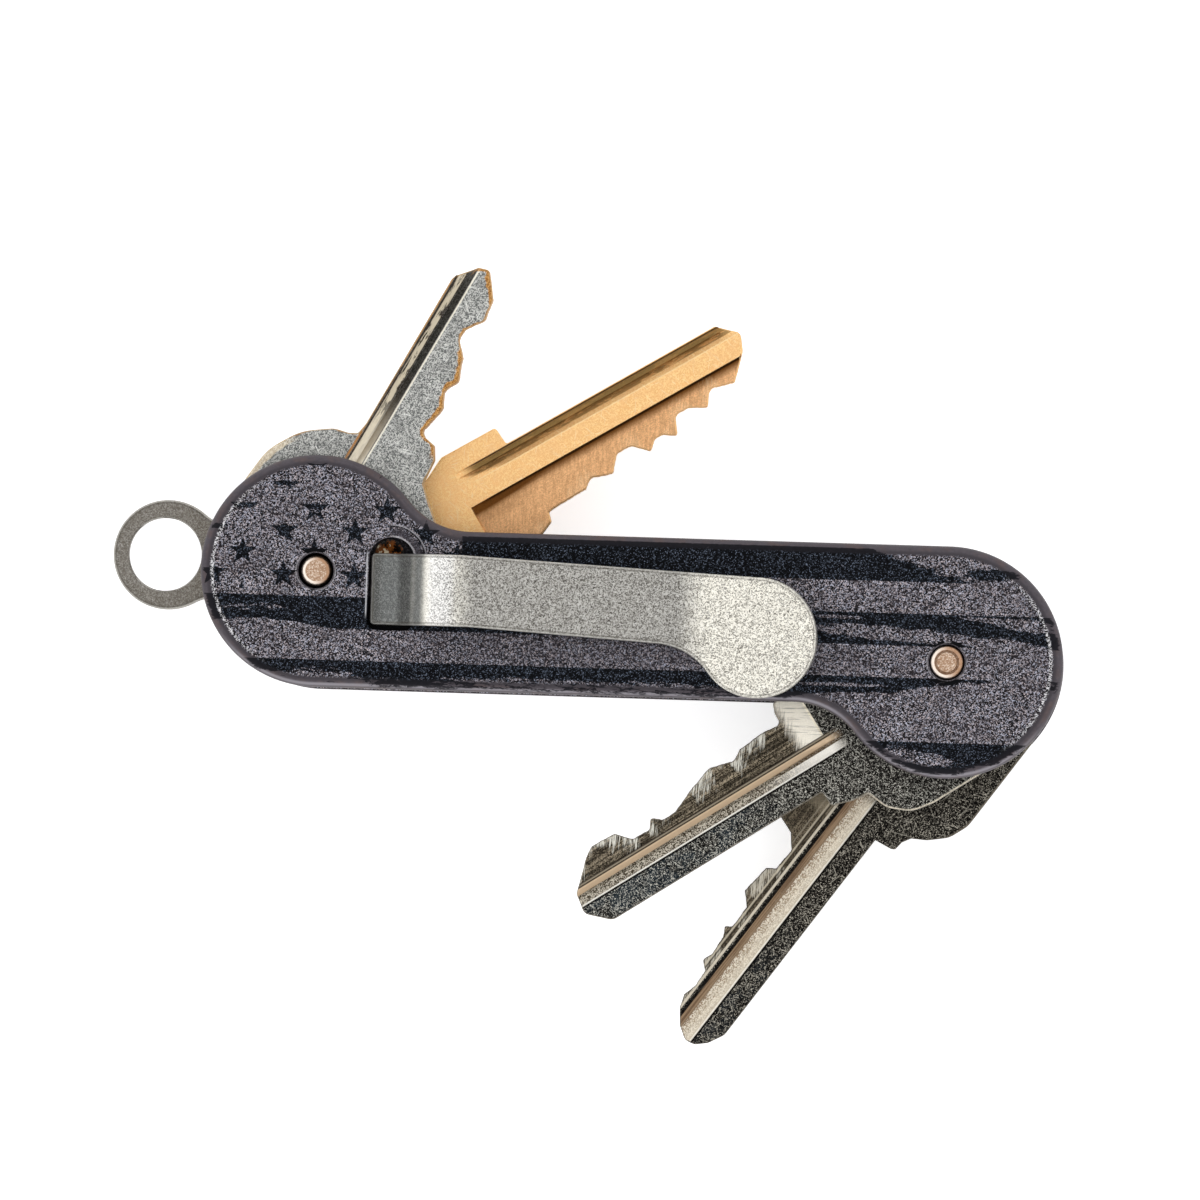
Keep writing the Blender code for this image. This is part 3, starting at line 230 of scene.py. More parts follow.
# Finish of each key: colours from 0 to 255, strengths from 0 to 1. Toned is the stretch of the blade over
# which the tone comes in, wear the width of the worn edge in millimetres, and crush and rare are the
# powers that darken the grain and thin out its glints. The head highlight is a painted highlight along the
# head's outline.
SMOOTH = dict(toned=(-20, -19), grain=0.1, crush=1.0, rare=4.0)
CRUSHED = dict(grain=0.095, crush=1.6, rare=9.0, wear=0.06, side=0.3)
LOOKS = {
    "small": dict(
        SMOOTH, colour=(196, 196, 190), dark=(96, 98, 96), pale=(244, 244, 238), tone=(104, 105, 103),
        worn=(160, 118, 70), edge=(196, 172, 130), wear=0.25, sparkle=0.35, scratch=0.55, cloud=0.55,
        side=0.4, band=(15.5, 1.5, (130, 80, 36))),
    "brass": dict(
        SMOOTH, dark=(240, 186, 122), pale=(255, 234, 190), tone=(244, 192, 132), worn=(224, 170, 110),
        edge=(246, 204, 140), wear=0.15, sparkle=0.15, scratch=0.4, cloud=0.5, side=0.3,
        milled=(244, 190, 136), milled_dark=(104, 64, 26), milled_grain=0.3, rows=0.08, under=1.1,
        weave=0.2, strokes=0.15, patch=0.0, cream=(255, 226, 180)),
    "front": dict(
        CRUSHED, dark=(10, 10, 9), pale=(222, 220, 208), tone=(42, 54, 62), toned=(20, 30),
        worn=(56, 51, 44), edge=(140, 132, 118), sparkle=1.0, scratch=0.5, cloud=0.6,
        milled=(176, 162, 138), milled_dark=(10, 7, 4), milled_grain=0.9, rows=0.85, under=0.3, weave=0.3,
        strokes=0.98, patch=1.0, cream=(250, 244, 228), head_highlight=(222, 212, 192)),
    "rear": dict(
        CRUSHED, colour=(36, 33, 29), dark=(7, 6, 6), pale=(206, 200, 184), tone=(40, 48, 54),
        toned=(28, 40), worn=(56, 50, 42), edge=(84, 78, 68), sparkle=0.9, scratch=0.45, cloud=0.45,
        milled=(138, 126, 106), milled_dark=(14, 11, 9), milled_grain=0.85, rows=0.6, under=0.2, weave=0.1,
        strokes=0.85, patch=0.35, cream=(204, 190, 162), head_highlight=(112, 105, 92)),
}


def rgb(red, green, blue):
    """Colour from screen values 0 to 255, as the linear numbers that a shader takes."""
    screen = np.array([red, green, blue]) / 255.0
    linear = np.where(screen <= 0.04045, screen / 12.92, ((screen + 0.055) / 1.055) ** 2.4)
    return (*[float(c) for c in linear], 1.0)


# Sizes and colours a user would change

def length(label, text, default):
    """Setting in metres, from a default in millimetres."""
    return FloatProperty(name=label, description=text, default=default * MM, unit="LENGTH")


def colour(label, text, *default):
    """Colour setting, from a default in screen values."""
    return FloatVectorProperty(name=label, description=text, subtype="COLOR", size=4, default=rgb(*default))


class HandleSizes(bpy.types.PropertyGroup):
    """Sizes of the two scales."""
    rim: length("Rim radius", "Round on the outer rim of each scale", 1.3)
    inner_edge: length("Inner edge", "Broken edge on the inner side of each scale", 0.12)
    segments: IntProperty(name="Segments", description="Steps round a full turn of the outline",
                          default=240, min=48)


class ClipSizes(bpy.types.PropertyGroup):
    """Sizes of the spring clip."""
    edge: length("Edge radius", "Tumbled edge round the clip", 0.32)


class KeySizes(bpy.types.PropertyGroup):
    """Sizes shared by the four keys."""
    edge: length("Edge radius", "Worn edge round a key", 0.16)
    burr: length("Cutter marks", "Depth of the cutter's marks along the cut edge", 0.05)
    step: length("Mesh step", "Spacing of the mesh along a blade", 0.2)


class FinishColours(bpy.types.PropertyGroup):
    """Base colours of the finishes."""
    coating: colour("Coating", "Grey of the scales", 86, 81, 86)
    printing: colour("Print", "Black of the stars and stripes", 4, 5, 8)
    clip: colour("Clip", "Tumbled steel of the clip", 255, 251, 236)
    loop: colour("Loop", "Brown-grey steel of the ring loop, the spacers and the shim", 126, 121, 112)
    post: colour("Posts", "Copper-tinted steel of the post ends", 194, 165, 139)
    nickel: colour("Nickel", "Plate of the front key", 58, 55, 51)
    brass: colour("Brass", "Metal of the yellow key", 255, 212, 146)
    bronze: colour("Bronze", "Washers between the layers", 150, 112, 78)


class StageLevels(bpy.types.PropertyGroup):
    """Floor, lamps and camera."""
    floor: FloatProperty(name="Floor size", description="Side of the pale floor", default=3.0,
                         unit="LENGTH")
    side_lamps: FloatProperty(name="Side lamps", description="Power of each side softbox, in watts",
                              default=0.25, subtype="POWER")
    top_lamp: FloatProperty(name="Top lamps", description="Power of the far and the near softbox, in watts",
                            default=0.2, subtype="POWER")
    distance: FloatProperty(name="Camera distance", description="From the camera to the handle's face",
                            default=1.2, unit="LENGTH")
    roll: FloatProperty(name="Camera roll", description="Turn of the picture", unit="ROTATION",
                        default=math.radians(1.75))


# Shapes worked out with numpy, in millimetres

def arc(centre, radius, start, end, step):
    """Points at equal angles on a circle, from one angle to another with both ends."""
    count = max(3, int(math.ceil(abs(end - start) / step)) + 1)
    angles = np.linspace(start, end, count)
    return np.stack([centre[0] + radius * np.cos(angles), centre[1] + radius * np.sin(angles)], axis=1)


def rounded(corners, steps, closed=True):
    """Corners (x, y, radius) as arcs tangent to both sides: an arc starts radius / tan(half angle) from
    its corner. Arcs that need more than the side between them shrink in proportion."""
    corners = np.asarray(corners, float)
    place = corners[:, :2]
    back, ahead = np.roll(place, 1, 0) - place, np.roll(place, -1, 0) - place
    back_length, ahead_length = np.linalg.norm(back, axis=1), np.linalg.norm(ahead, axis=1)
    back, ahead = back / back_length[:, None], ahead / ahead_length[:, None]
    half = np.arccos(np.clip((back * ahead).sum(1), -1, 1)) / 2
    plain = (corners[:, 2] <= 0) | (half > np.radians(88.5))
    if not closed:
        plain[[0, -1]] = True
    reach = np.where(plain, 0.0, corners[:, 2] / np.tan(half))
    share = np.minimum(0.98 * back_length / np.maximum(reach + np.roll(reach, 1), 1e-9),
                       0.98 * ahead_length / np.maximum(reach + np.roll(reach, -1), 1e-9))
    reach = reach * np.minimum(1.0, share)
    size = reach * np.tan(half)
    middle = back + ahead
    away = size / np.sin(half) / np.maximum(np.linalg.norm(middle, axis=1), 1e-9)
    centre = place + middle * away[:, None]
    start, end = place + back * reach[:, None] - centre, place + ahead * reach[:, None] - centre
    first = np.arctan2(start[:, 1], start[:, 0])
    turn = (np.arctan2(end[:, 1], end[:, 0]) - first + np.pi) % (2 * np.pi) - np.pi
    angles = first[:, None] + turn[:, None] * np.linspace(0, 1, steps)
    points = centre[:, None] + size[:, None, None] * np.stack([np.cos(angles), np.sin(angles)], axis=2)
    points = np.where(plain[:, None, None], place[:, None], points).reshape(-1, 2)
    apart = np.linalg.norm(points - np.roll(points, 1, 0), axis=1) > 1e-5
    if not closed:
        apart[0] = True
    return points[apart]


def handle_outline(segments):
    """S-shaped outline and its outward directions: a hollow arc, a lobe, and both again half a turn on.
    A lobe points away from its centre and a hollow towards its own."""
    step = 2 * math.pi / segments
    rise = BAR_TOP + NECK_RADIUS - LEFT_POST[1]
    run = math.sqrt((LOBE_RADIUS + NECK_RADIUS) ** 2 - rise ** 2)
    lean = math.atan2(rise, run)
    hollow = np.array([LEFT_POST[0] + run, BAR_TOP + NECK_RADIUS])
    neck = arc(hollow, NECK_RADIUS, 1.5 * math.pi, math.pi + lean, step)
    lobe = arc(LEFT_POST, LOBE_RADIUS, lean, 1.5 * math.pi, step)[1:]
    points = np.concatenate([neck, lobe])
    away = np.concatenate([(hollow - neck) / NECK_RADIUS, (lobe - LEFT_POST) / LOBE_RADIUS])
    return np.concatenate([points, -points]), np.concatenate([away, -away])


def solid(name, rings, looped=False):
    """Closed mesh through rings of points (rings, points, xyz) in millimetres: quads from ring to ring,
    and one flat face over each end or, for a looped shape, quads from the last ring to the first."""
    rows, columns = rings.shape[:2]
    row, column = np.arange(rows if looped else rows - 1)[:, None], np.arange(columns)
    above, beside = (row + 1) % rows, (column + 1) % columns
    faces = np.stack([row * columns + column, row * columns + beside, above * columns + beside,
                      above * columns + column], axis=-1).reshape(-1, 4)
    sizes, loops = np.full(len(faces), 4), faces.ravel()
    if not looped:
        sizes = np.concatenate([sizes, [columns, columns]])
        loops = np.concatenate([loops, column[::-1], (rows - 1) * columns + column])
    mesh = bpy.data.meshes.new(name)
    mesh.vertices.add(rows * columns)
    mesh.vertices.foreach_set("co", (rings * MM).astype(np.float32).ravel())
    mesh.loops.add(len(loops))
    mesh.loops.foreach_set("vertex_index", loops.astype(np.int32))
    mesh.polygons.add(len(sizes))
    mesh.polygons.foreach_set("loop_start", (np.cumsum(sizes) - sizes).astype(np.int32))
    mesh.update(calc_edges=True)
    return mesh


def tidy_mesh(mesh, sharp=30.0):
    """Weld doubled points, point the faces outwards, and smooth all but level faces and sharp edges."""
    built = bmesh.new()
    built.from_mesh(mesh)
    bmesh.ops.remove_doubles(built, verts=built.verts, dist=2e-7)
    bmesh.ops.dissolve_degenerate(built, dist=1e-7, edges=built.edges)
    bmesh.ops.recalc_face_normals(built, faces=built.faces)
    built.to_mesh(mesh)
    built.free()
    shade(mesh, sharp)


def shade(mesh, sharp=30.0):
    """Smooth faces except those that lie level, with sharp edges past an angle in degrees."""
    normals = np.empty(len(mesh.polygons) * 3, np.float32)
    mesh.polygons.foreach_get("normal", normals)
    level = np.abs(normals.reshape(-1, 3)[:, 2]) > 0.99995
    mesh.polygons.foreach_set("use_smooth", ~level)
    mesh.set_sharp_from_angle(angle=math.radians(sharp))
    mesh.update()


def edge_depth(points, outline):
    """Distance of each point (x, y) to the nearest side of a closed outline."""
    start, end = outline, np.roll(outline, -1, 0)
    run = end - start
    best = []
    for part in np.array_split(points, max(1, len(points) // 4000)):
        gap = part[:, None, :] - start[None]
        along = np.clip((gap * run).sum(2) / np.maximum((run ** 2).sum(1), 1e-12), 0, 1)
        best.append(np.linalg.norm(gap - along[..., None] * run, axis=2).min(1))
    return np.concatenate(best)


def store_depth(mesh, values):
    """Keep a number for each point of a mesh, for its material to read."""
    layer = mesh.attributes.new("depth", "FLOAT", "POINT")
    layer.data.foreach_set("value", np.asarray(values, np.float32))


def mesh_points(mesh):
    """All points of a mesh, in millimetres."""
    flat = np.empty(len(mesh.vertices) * 3, np.float32)
    mesh.vertices.foreach_get("co", flat)
    return flat.reshape(-1, 3).astype(float) / MM


def revolve(name, profile, centre, segments=96, looped=False):
    """Turned solid: each (radius, height) of the profile swept round a full turn about an upright axis."""
    profile = np.asarray(profile, float)
    turn = np.linspace(0, 2 * np.pi, segments, endpoint=False)
    rings = np.stack([centre[0] + profile[:, :1] * np.cos(turn), centre[1] + profile[:, :1] * np.sin(turn),
                      np.repeat(profile[:, 1:], segments, axis=1)], axis=2)
    return solid(name, rings, looped=looped)


def plug(name, profile, centre, segments=96):
    """Turned cutter: the profile closed on the axis at both its ends."""
    return revolve(name, [(0, profile[0][1]), *profile, (0, profile[-1][1])], centre, segments)


def stacked(name, outlines, heights):
    """Upright solid through outlines that have the same number of points, one for each height."""
    outlines = np.asarray(outlines, float)
    heights = np.broadcast_to(np.asarray(heights, float)[:, None, None], (*outlines.shape[:2], 1))
    return solid(name, np.concatenate([outlines, heights], axis=2))


def spans(outline, places):
    """Lowest and highest point of an outline above each place u, where a straight side of the outline
    crosses it."""
    start, end = outline, np.roll(outline, -1, 0)
    run = end[:, 0] - start[:, 0]
    steep = np.abs(run) < 1e-7
    along = (places[:, None] - start[:, 0]) / np.where(steep, 1.0, run)
    height = start[:, 1] + along * (end[:, 1] - start[:, 1])
    crossed = (along >= -1e-9) & (along <= 1 + 1e-9) & ~steep
    return np.where(crossed, height, np.inf).min(1), np.where(crossed, height, -np.inf).max(1)


def stations(outline, step):
    """Places along u for a grid: evenly spaced, at each outline point, and close beside steep sides."""
    low, high = outline[:, 0].min(), outline[:, 0].max()
    run = np.abs(np.roll(outline, -1, 0) - outline)
    steep = outline[run[:, 1] > 1.2 * run[:, 0], 0]
    near = (steep[:, None] + np.array([-0.16, -0.1, -0.05, 0.05, 0.1, 0.16])).ravel()
    places = np.concatenate([np.arange(low, high, step), outline[:, 0], near])
    places = np.unique(np.clip(places, low + 2e-3, high - 2e-3))
    kept = np.concatenate([[True], np.diff(places) > 0.012])
    kept[-1] = True
    return places[kept]


def across(low, high, levels, rims):
    """Rows across a flat shape for each station: rims at set distances in from both edges, and fixed
    levels between them, held inside the rims."""
    share = np.minimum(1.0, 0.45 * (high - low) / rims[-1])[:, None]
    lower, upper = low[:, None] + rims * share, high[:, None] - rims[::-1] * share
    middle = np.clip(levels[None, :], lower[:, -1:], upper[:, :1])
    return np.concatenate([lower, middle, upper], axis=1)


def rim_depth(u, v, low, high, window=7):
    """Distance in from the edge of a flat shape: the least over the short straight pieces of both edges
    near each station, and over its two ends."""
    best = np.minimum(u - u[0], u[-1] - u)[:, None] + np.zeros_like(v)
    index = np.arange(len(u))
    for edge in (low, high):
        for shift in range(-window, window):
            at = np.clip(index + shift, 0, len(u) - 2)
            du, dv = u[at + 1] - u[at], edge[at + 1] - edge[at]
            gap_u, gap_v = (u - u[at])[:, None], v - edge[at][:, None]
            along = (gap_u * du[:, None] + gap_v * dv[:, None]) / (du ** 2 + dv ** 2)[:, None]
            along = np.clip(along, 0, 1)
            best = np.minimum(best, np.hypot(gap_u - along * du[:, None], gap_v - along * dv[:, None]))
    return best


def rim_drop(depth, radius):
    """Fall of a quarter-round edge below its face: radius - sqrt(radius^2 - (radius - depth)^2)."""
    inside = np.clip(radius - depth, 0, radius)
    return radius - np.sqrt(np.maximum(radius ** 2 - inside ** 2, 0))


def two_sided(name, upper, under, upper_depth, under_depth, sharp=30.0):
    """Closed mesh of a flat piece from the grids of its upper and its under side (stations, rows,
    xyz): each ring runs over a station's upper rows and back along its under ones."""
    mesh = solid(name, np.concatenate([upper, under[:, ::-1]], axis=1))
    store_depth(mesh, np.concatenate([upper_depth, under_depth[:, ::-1]], axis=1).ravel())
    tidy_mesh(mesh, sharp)
    return mesh


def turned_flat(u, v, z, pin, angle):
    """Points of a flat piece in its own frame, turned about its post and set in the handle's frame."""
    turn = math.radians(angle)
    x = pin[0] + u * math.cos(turn) - v * math.sin(turn)
    y = pin[1] + u * math.sin(turn) + v * math.cos(turn)
    return np.stack([x, y, z], axis=-1)


def ripple(places, seed):
    """Small uneven wave between -1 and 1, the sum of four sines that never fall in step."""
    waves = [(2.1, 1.0), (5.3, 0.8), (11.7, 0.7), (23.9, 0.5)]
    total = sum(size * np.sin(rate * places + 7.1 * seed * rate) for rate, size in waves)
    return total / 3.0


# Objects

def put(mesh, finish, body, node):
    """Object for a finished mesh and named after it, riding on its body and standing for its CAD node."""
    item = bpy.data.objects.new(mesh.name, mesh)
    bpy.context.scene.collection.objects.link(item)
    mesh.materials.clear()
    mesh.materials.append(finish)
    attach(item, body)
    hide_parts(node)


def cut(mesh, cutters, name, sharp=30.0):
    """The mesh with each cutter taken out of it, under a new name and shaded again."""
    item = bpy.data.objects.new(name + "_uncut", mesh)
    bpy.context.scene.collection.objects.link(item)
    helpers = [item]
    for cutter in cutters:
        tidy_mesh(cutter)
        helper = bpy.data.objects.new(cutter.name, cutter)
        bpy.context.scene.collection.objects.link(helper)
        helpers.append(helper)
        step = item.modifiers.new(cutter.name, "BOOLEAN")
        step.operation, step.solver, step.object = "DIFFERENCE", "EXACT", helper
    graph = bpy.context.evaluated_depsgraph_get()
    result = bpy.data.meshes.new_from_object(item.evaluated_get(graph))
    for helper in reversed(helpers):
        used = helper.data
        bpy.data.objects.remove(helper, do_unlink=True)
        bpy.data.meshes.remove(used)
    result.name = name
    shade(result, sharp)
    return result


# Finishes

class Value:
    """Number, place or colour in a material. Arithmetic with it adds the nodes that work it out."""

    def __init__(self, work, socket):
        self.work, self.socket = work, socket

    def __add__(self, other):
        return self.work.math("ADD", self, other)

    def __sub__(self, other):
        return self.work.math("SUBTRACT", self, other)

    def __rsub__(self, other):
        return self.work.math("SUBTRACT", other, self)

    def __mul__(self, other):
        return self.work.math("MULTIPLY", self, other)

    def __truediv__(self, other):
        return self.work.math("DIVIDE", self, other)

    def __pow__(self, power):
        return self.work.math("POWER", self, power)

    def __abs__(self):
        return self.work.math("ABSOLUTE", self)

    __radd__, __rmul__ = __add__, __mul__

    def part(self):
        """What is left over the whole number below, from 0 to 1."""
        return self.work.math("FRACT", self)

    def ease(self, low, high, start=0.0, end=1.0):
        """Smooth rise from start to end while the value goes from low to high."""
        return self.work.node("MapRange", {0: self, 1: low, 2: high, 3: start, 4: end},
                              interpolation_type="SMOOTHSTEP")

    def band(self, low, high, soft):
        """One between two limits and nothing outside them, with soft edges."""
        return self.ease(low - soft, low + soft) * self.ease(high - soft, high + soft, 1, 0)


class Finish:
    """Principled shader with short ways to add the nodes that feed it."""

    def __init__(self, name, roughness=0.4, metallic=0.0):
        self.made = bpy.data.materials.new(name)
        self.made.use_nodes = True
        self.nodes, self.links = self.made.node_tree.nodes, self.made.node_tree.links
        self.nodes.clear()
        self.shader = self.nodes.new("ShaderNodeBsdfPrincipled")
        self.shader.inputs["Roughness"].default_value = roughness
        self.shader.inputs["Metallic"].default_value = metallic
        self.output = self.nodes.new("ShaderNodeOutputMaterial")
        self.links.new(self.shader.outputs[0], self.output.inputs[0])

    def feed(self, socket, value):
        """Link a socket to another, or set it to a plain value."""
        if isinstance(value, Value):
            self.links.new(value.socket, socket)
        else:
            socket.default_value = value

    def node(self, kind, inputs=None, output=0, **settings):
        """One output of a new node, with its settings and with its inputs linked or set."""
        made = self.nodes.new("ShaderNode" + kind)
        for name, setting in settings.items():
            setattr(made, name, setting)
        for name, value in (inputs or {}).items():
            self.feed(made.inputs[name], value)
        return Value(self, made.outputs[output])

    def math(self, operation, first, second=0.0):
        return self.node("Math", {0: first, 1: second}, operation=operation)

    def mix(self, factor, first, second):
        """Blend of two colours. Three plain numbers are a colour in screen values."""
        first, second = (rgb(*c) if isinstance(c, tuple) and len(c) == 3 else c for c in (first, second))
        return self.node("Mix", {0: factor, 6: first, 7: second}, 2, data_type="RGBA")

    def split(self, vector):
        node = self.nodes.new("ShaderNodeSeparateXYZ")
        self.feed(node.inputs[0], vector)
        return [Value(self, output) for output in node.outputs]

    def place(self, pin=(0.0, 0.0), angle=0.0):
        """Object coordinates in millimetres, measured from a post and turned to lie along a piece."""
        turn = Matrix.Rotation(math.radians(-angle), 3, "Z")
        return self.node("Mapping", {
            "Vector": self.node("TexCoord", output="Object"), "Scale": (1 / MM, 1 / MM, 1 / MM),
            "Location": turn @ Vector((-pin[0], -pin[1], 0.0)), "Rotation": (0.0, 0.0, math.radians(-angle))})

    def stretch(self, vector, x, y, z, turn=0.0):
        """Turned by an angle, then scaled: a small x draws a pattern out along that angle."""
        return self.node("Mapping", {"Vector": vector, "Scale": (1 / x, 1 / y, 1 / z),
                                     "Rotation": (0.0, 0.0, math.radians(turn))}, vector_type="TEXTURE")

    def noise(self, vector, scale, detail=2.0, rough=0.55, warp=0.0):
        return self.node("TexNoise", {"Vector": vector, "Scale": scale, "Detail": detail,
                                      "Roughness": rough, "Distortion": warp})

    def streaks(self, vector, rates, turn=0.0, detail=2.0, rough=0.55, warp=0.0):
        """Noise drawn out along an angle: the rates say how fast it changes along, across and upwards."""
        return self.noise(self.stretch(vector, *rates, turn), 1.0, detail, rough, warp)

    def cells(self, vector, scale):
        """Three random numbers that stay the same within each small cell."""
        return self.split(self.node("TexVoronoi", {"Vector": vector, "Scale": scale}, "Color"))

    def warped(self, vector, scale, amount):
        """The place, moved on by up to this many millimetres each way."""
        shift = self.node("TexNoise", {"Vector": vector, "Scale": scale}, "Color")
        return self.node("VectorMath", {0: shift, 1: (amount, amount, amount), 2: vector},
                         operation="MULTIPLY_ADD")

    def grit(self, vector, size):
        """Two random numbers for each grain of about this size in millimetres: a height, mostly from small
        cells and a little from noise, pulled apart so that grains stand out, and a number for tints."""
        value, tint, _ = self.cells(vector, 1.0 / size)
        soft = self.noise(vector, 1.4 / size, 1.0).ease(0.4, 0.6)
        return value.ease(0.1, 0.9) * 0.75 + soft * 0.25, tint

    def depth(self):
        """Distance in from the piece's outline, kept in its mesh."""
        return self.node("Attribute", output="Fac", attribute_name="depth")

    def facing(self):
        """The three parts of the direction that a face looks in."""
        return self.split(self.node("NewGeometry", output="Normal"))

    def rising(self):
        """How far a face looks up or down: 1 on level faces and 0 on upright ones."""
        return abs(self.facing()[2])

    def away(self, x, y):
        """Length of a step x along and y across."""
        return self.math("SQRT", x * x + y * y)

    def spot(self, x, y, centre, reach, slope=0.0):
        """Soft ellipse sheared along a slope: 1 at its centre and 0 past its reach."""
        dx, dy = (x - centre[0]) / reach[0], (y - centre[1]) / reach[1]
        if slope:
            dy = dy - dx * (slope * reach[0] / reach[1])
        return (dx * dx + dy * dy).ease(0.1, 1.0, 1, 0)

    def bump(self, height, distance, strength=0.8):
        """Normal from a height: distance is the depth in metres of a height of one."""
        return self.node("Bump", {"Distance": distance, "Strength": strength, "Height": height})

    def finish(self, colour, roughness=None, normal=None):
        for name, value in (("Base Color", colour), ("Roughness", roughness), ("Normal", normal)):
            if value is not None:
                self.feed(self.shader.inputs[name], value)
        return self.made


def coat_grain(work, place, base, black, printed):
    """Colour and height of the gritty coating, with its black print and a soft patch of painted shade along
    the bar where a print is given. Each grain's random number is raised to a power, which leaves most grains
    dark and lets a few shine."""
    value, tint = work.grit(place, COAT_GRAIN)
    glow = work.mix(tint, (226, 210, 210), (206, 212, 232))
    colour = work.mix(value ** 3.4, work.mix(0.97, base, (0, 0, 0)), work.mix(0.9, base, glow))
    colour = work.mix(work.noise(place, 0.5, 3.0).ease(0.35, 0.7, 0, 0.3), colour, (70, 62, 66))
    if printed:
        x, y, _ = work.split(place)
        # Painted shade: a soft darker patch along the bar, under the clip
        colour = work.mix(work.spot(x, y, (2.0, -3.0), (30.0, 9.0)) * 0.3, colour, (40, 38, 44))
        colour = work.mix(printed, colour, work.mix(value ** 12.0, black, (104, 114, 130)))
    return colour, value


def star(work, x, y, start, period):
    """Five-pointed stars on a lattice: folded into one tenth of a turn, a star's edge is a straight line
    from a point of radius R to an inner corner of radius r. The result is above 0 inside."""
    fold = math.radians(36)
    local = [(((value - (first - step / 2)) / step).part() - 0.5) * step
             for value, first, step in zip((x, y), start, period)]
    turn = (work.math("ARCTAN2", *local) + (fold + 2 * math.pi)) / (2 * fold)
    turn = abs((turn.part() - 0.5) * (2 * fold))
    run, rise = STAR_HOLLOW * math.sin(fold), STAR_POINT - STAR_HOLLOW * math.cos(fold)
    side = math.hypot(run, rise)
    reach = work.math("COSINE", turn) * (run / side) + work.math("SINE", turn) * (rise / side)
    return STAR_POINT * run / side - work.away(*local) * reach


def print_mask(work, place, depth):
    """Where the front scale carries black: stripes 3.3 mm wide and a corner of stars, torn in long streaks
    and in flakes at the worn places, and rubbed off the very rim."""
    x, y, _ = work.split(place)
    long = work.streaks(place, (0.26, 1.9, 1.0), TEAR_LEAN, 7.0, 0.72, 0.5)
    short = work.streaks(place, (1.2, 5.0, 1.0), TEAR_LEAN, 5.0, 0.8, 0.8)
    bent = work.warped(place, 0.9, 0.5)
    large = work.cells(work.stretch(bent, 0.75, 3.6, 1.0, TEAR_LEAN), 1.0)[0]
    small = work.cells(work.stretch(bent, 2.0, 7.0, 1.0, TEAR_LEAN), 1.0)[0]
    tear = long.ease(0.3, 0.7, 0, 0.3) + short.ease(0.3, 0.7, 0, 0.18) + large * 0.3 + small * 0.22
    tear = tear * 1.6 + -0.3
    rough = (short - 0.5) * 0.16
    stripes = (((STRIPE_TOP + 10 * STRIPE_PERIOD) - (y + rough)) / STRIPE_PERIOD).part()
    stripes = stripes.band(0.004, 0.508, 0.005)
    corner = x.ease(CORNER_RIGHT - 0.1, CORNER_RIGHT + 0.1, 1, 0)
    corner = corner * y.ease(CORNER_LOW - 0.07, CORNER_LOW + 0.07)
    stars = work.math("MAXIMUM", *[star(work, x + rough, y, *lattice) for lattice in STAR_LATTICES])
    stars = stars.ease(-0.04, -0.02) * y.ease(1.6, 1.7)
    # Bare along the upper edge of the right lobe, apart from one patch that kept its black
    wear = (y - (x * -0.31 + 15.2)).ease(-1.0, 0.7) * x.ease(21.0, 27.0) * 3.2
    wear = wear - work.spot(x, y, (36.6, 5.3), (4.8, .8), -.05) * 2.4
    for centre, reach, slope, amount in TEARS:
        wear = wear + work.spot(x, y, centre, reach, slope) * amount
    kept = (tear - (TEAR_LIMIT - wear * 0.36)).ease(-0.01, 0.01, 1, 0)
    rim = (depth + (tear - 0.5) * 0.5).ease(0.18, 0.42)
    return work.mix(corner, stripes, stars) * kept * rim


def scale_finish(colours, name, printed):
    """Gritty mauve-grey coating, smooth on the rim, with a painted highlight line where the grit ends at the
    two outer sides, a painted glint low on the rim, a band of painted shade across the rim's round, and on
    the printed scale the worn and painted-light marks round the bores and window."""
    work = Finish(name, 0.42)
    work.shader.inputs["Specular IOR Level"].default_value = 0.05
    place = work.place()
    x, y, z = work.split(place)
    depth = work.depth()
    inner = FRONT_INNER if printed else SCALE_THICK
    within = z.band(inner - 0.02, inner + 0.02, 0.01) * work.rising().ease(0.9, 0.98)
    mask = print_mask(work, place, depth) * z.ease(inner + 0.5, inner + 1.0) if printed else None
    face, height = coat_grain(work, place, tuple(colours.coating), tuple(colours.printing), mask)
    soft = work.noise(place, 2.4, 3.0, 0.6)
    rim = work.mix(soft, (66, 62, 66), (98, 92, 97))
    rim = work.mix(depth.ease(0.0, 0.5), (84, 79, 83), rim)
    rim = work.mix(work.noise(place, 0.6, 2.0).ease(0.45, 0.7, 0, 0.4), rim, (98, 80, 74))
    # Painted shade: a dark band across the rim's round just before the face
    rim = work.mix(depth.ease(0.45, 0.85, 0, 0.8), rim, (60, 57, 61))
    # Painted highlight: a pale glint on the rim where its faces look down the picture
    low = work.facing()[1].ease(-0.75, -0.35, 1, 0)
    rim = work.mix(low * depth.band(0.16, 0.45, 0.12) * 0.55, rim, (176, 172, 178))
    if printed:
        rim = work.mix(mask * 0.92, rim, work.mix(soft, (4, 5, 7), (26, 26, 32)))
    edge = depth + (soft - 0.5) * 0.3
    flat = work.math("MAXIMUM", edge.ease(0.9, 1.2), within)
    colour = work.mix(flat, rim, face)
    # Painted highlight: a pale line where the grit ends on the two outer sides
    sides = x.ease(-41.5, -36.5, 1, 0) + x.ease(37.5, 42.0)
    glint = edge.band(1.1, 1.4, 0.1) * sides * height.ease(0.4, 0.7) * (1.0 - within)
    colour = work.mix(glint * 0.9, colour, (226, 225, 226))
    if printed:
        colour = openings_wear_and_painted_light(work, colour, x, y, z, depth, height, soft, mask)
    roughness = (flat * height).ease(0.3, 1.0, 0.36, 0.55)
    return work.finish(colour, roughness, work.bump(height * (flat * 0.9 + 0.1), 0.00005, 0.9))


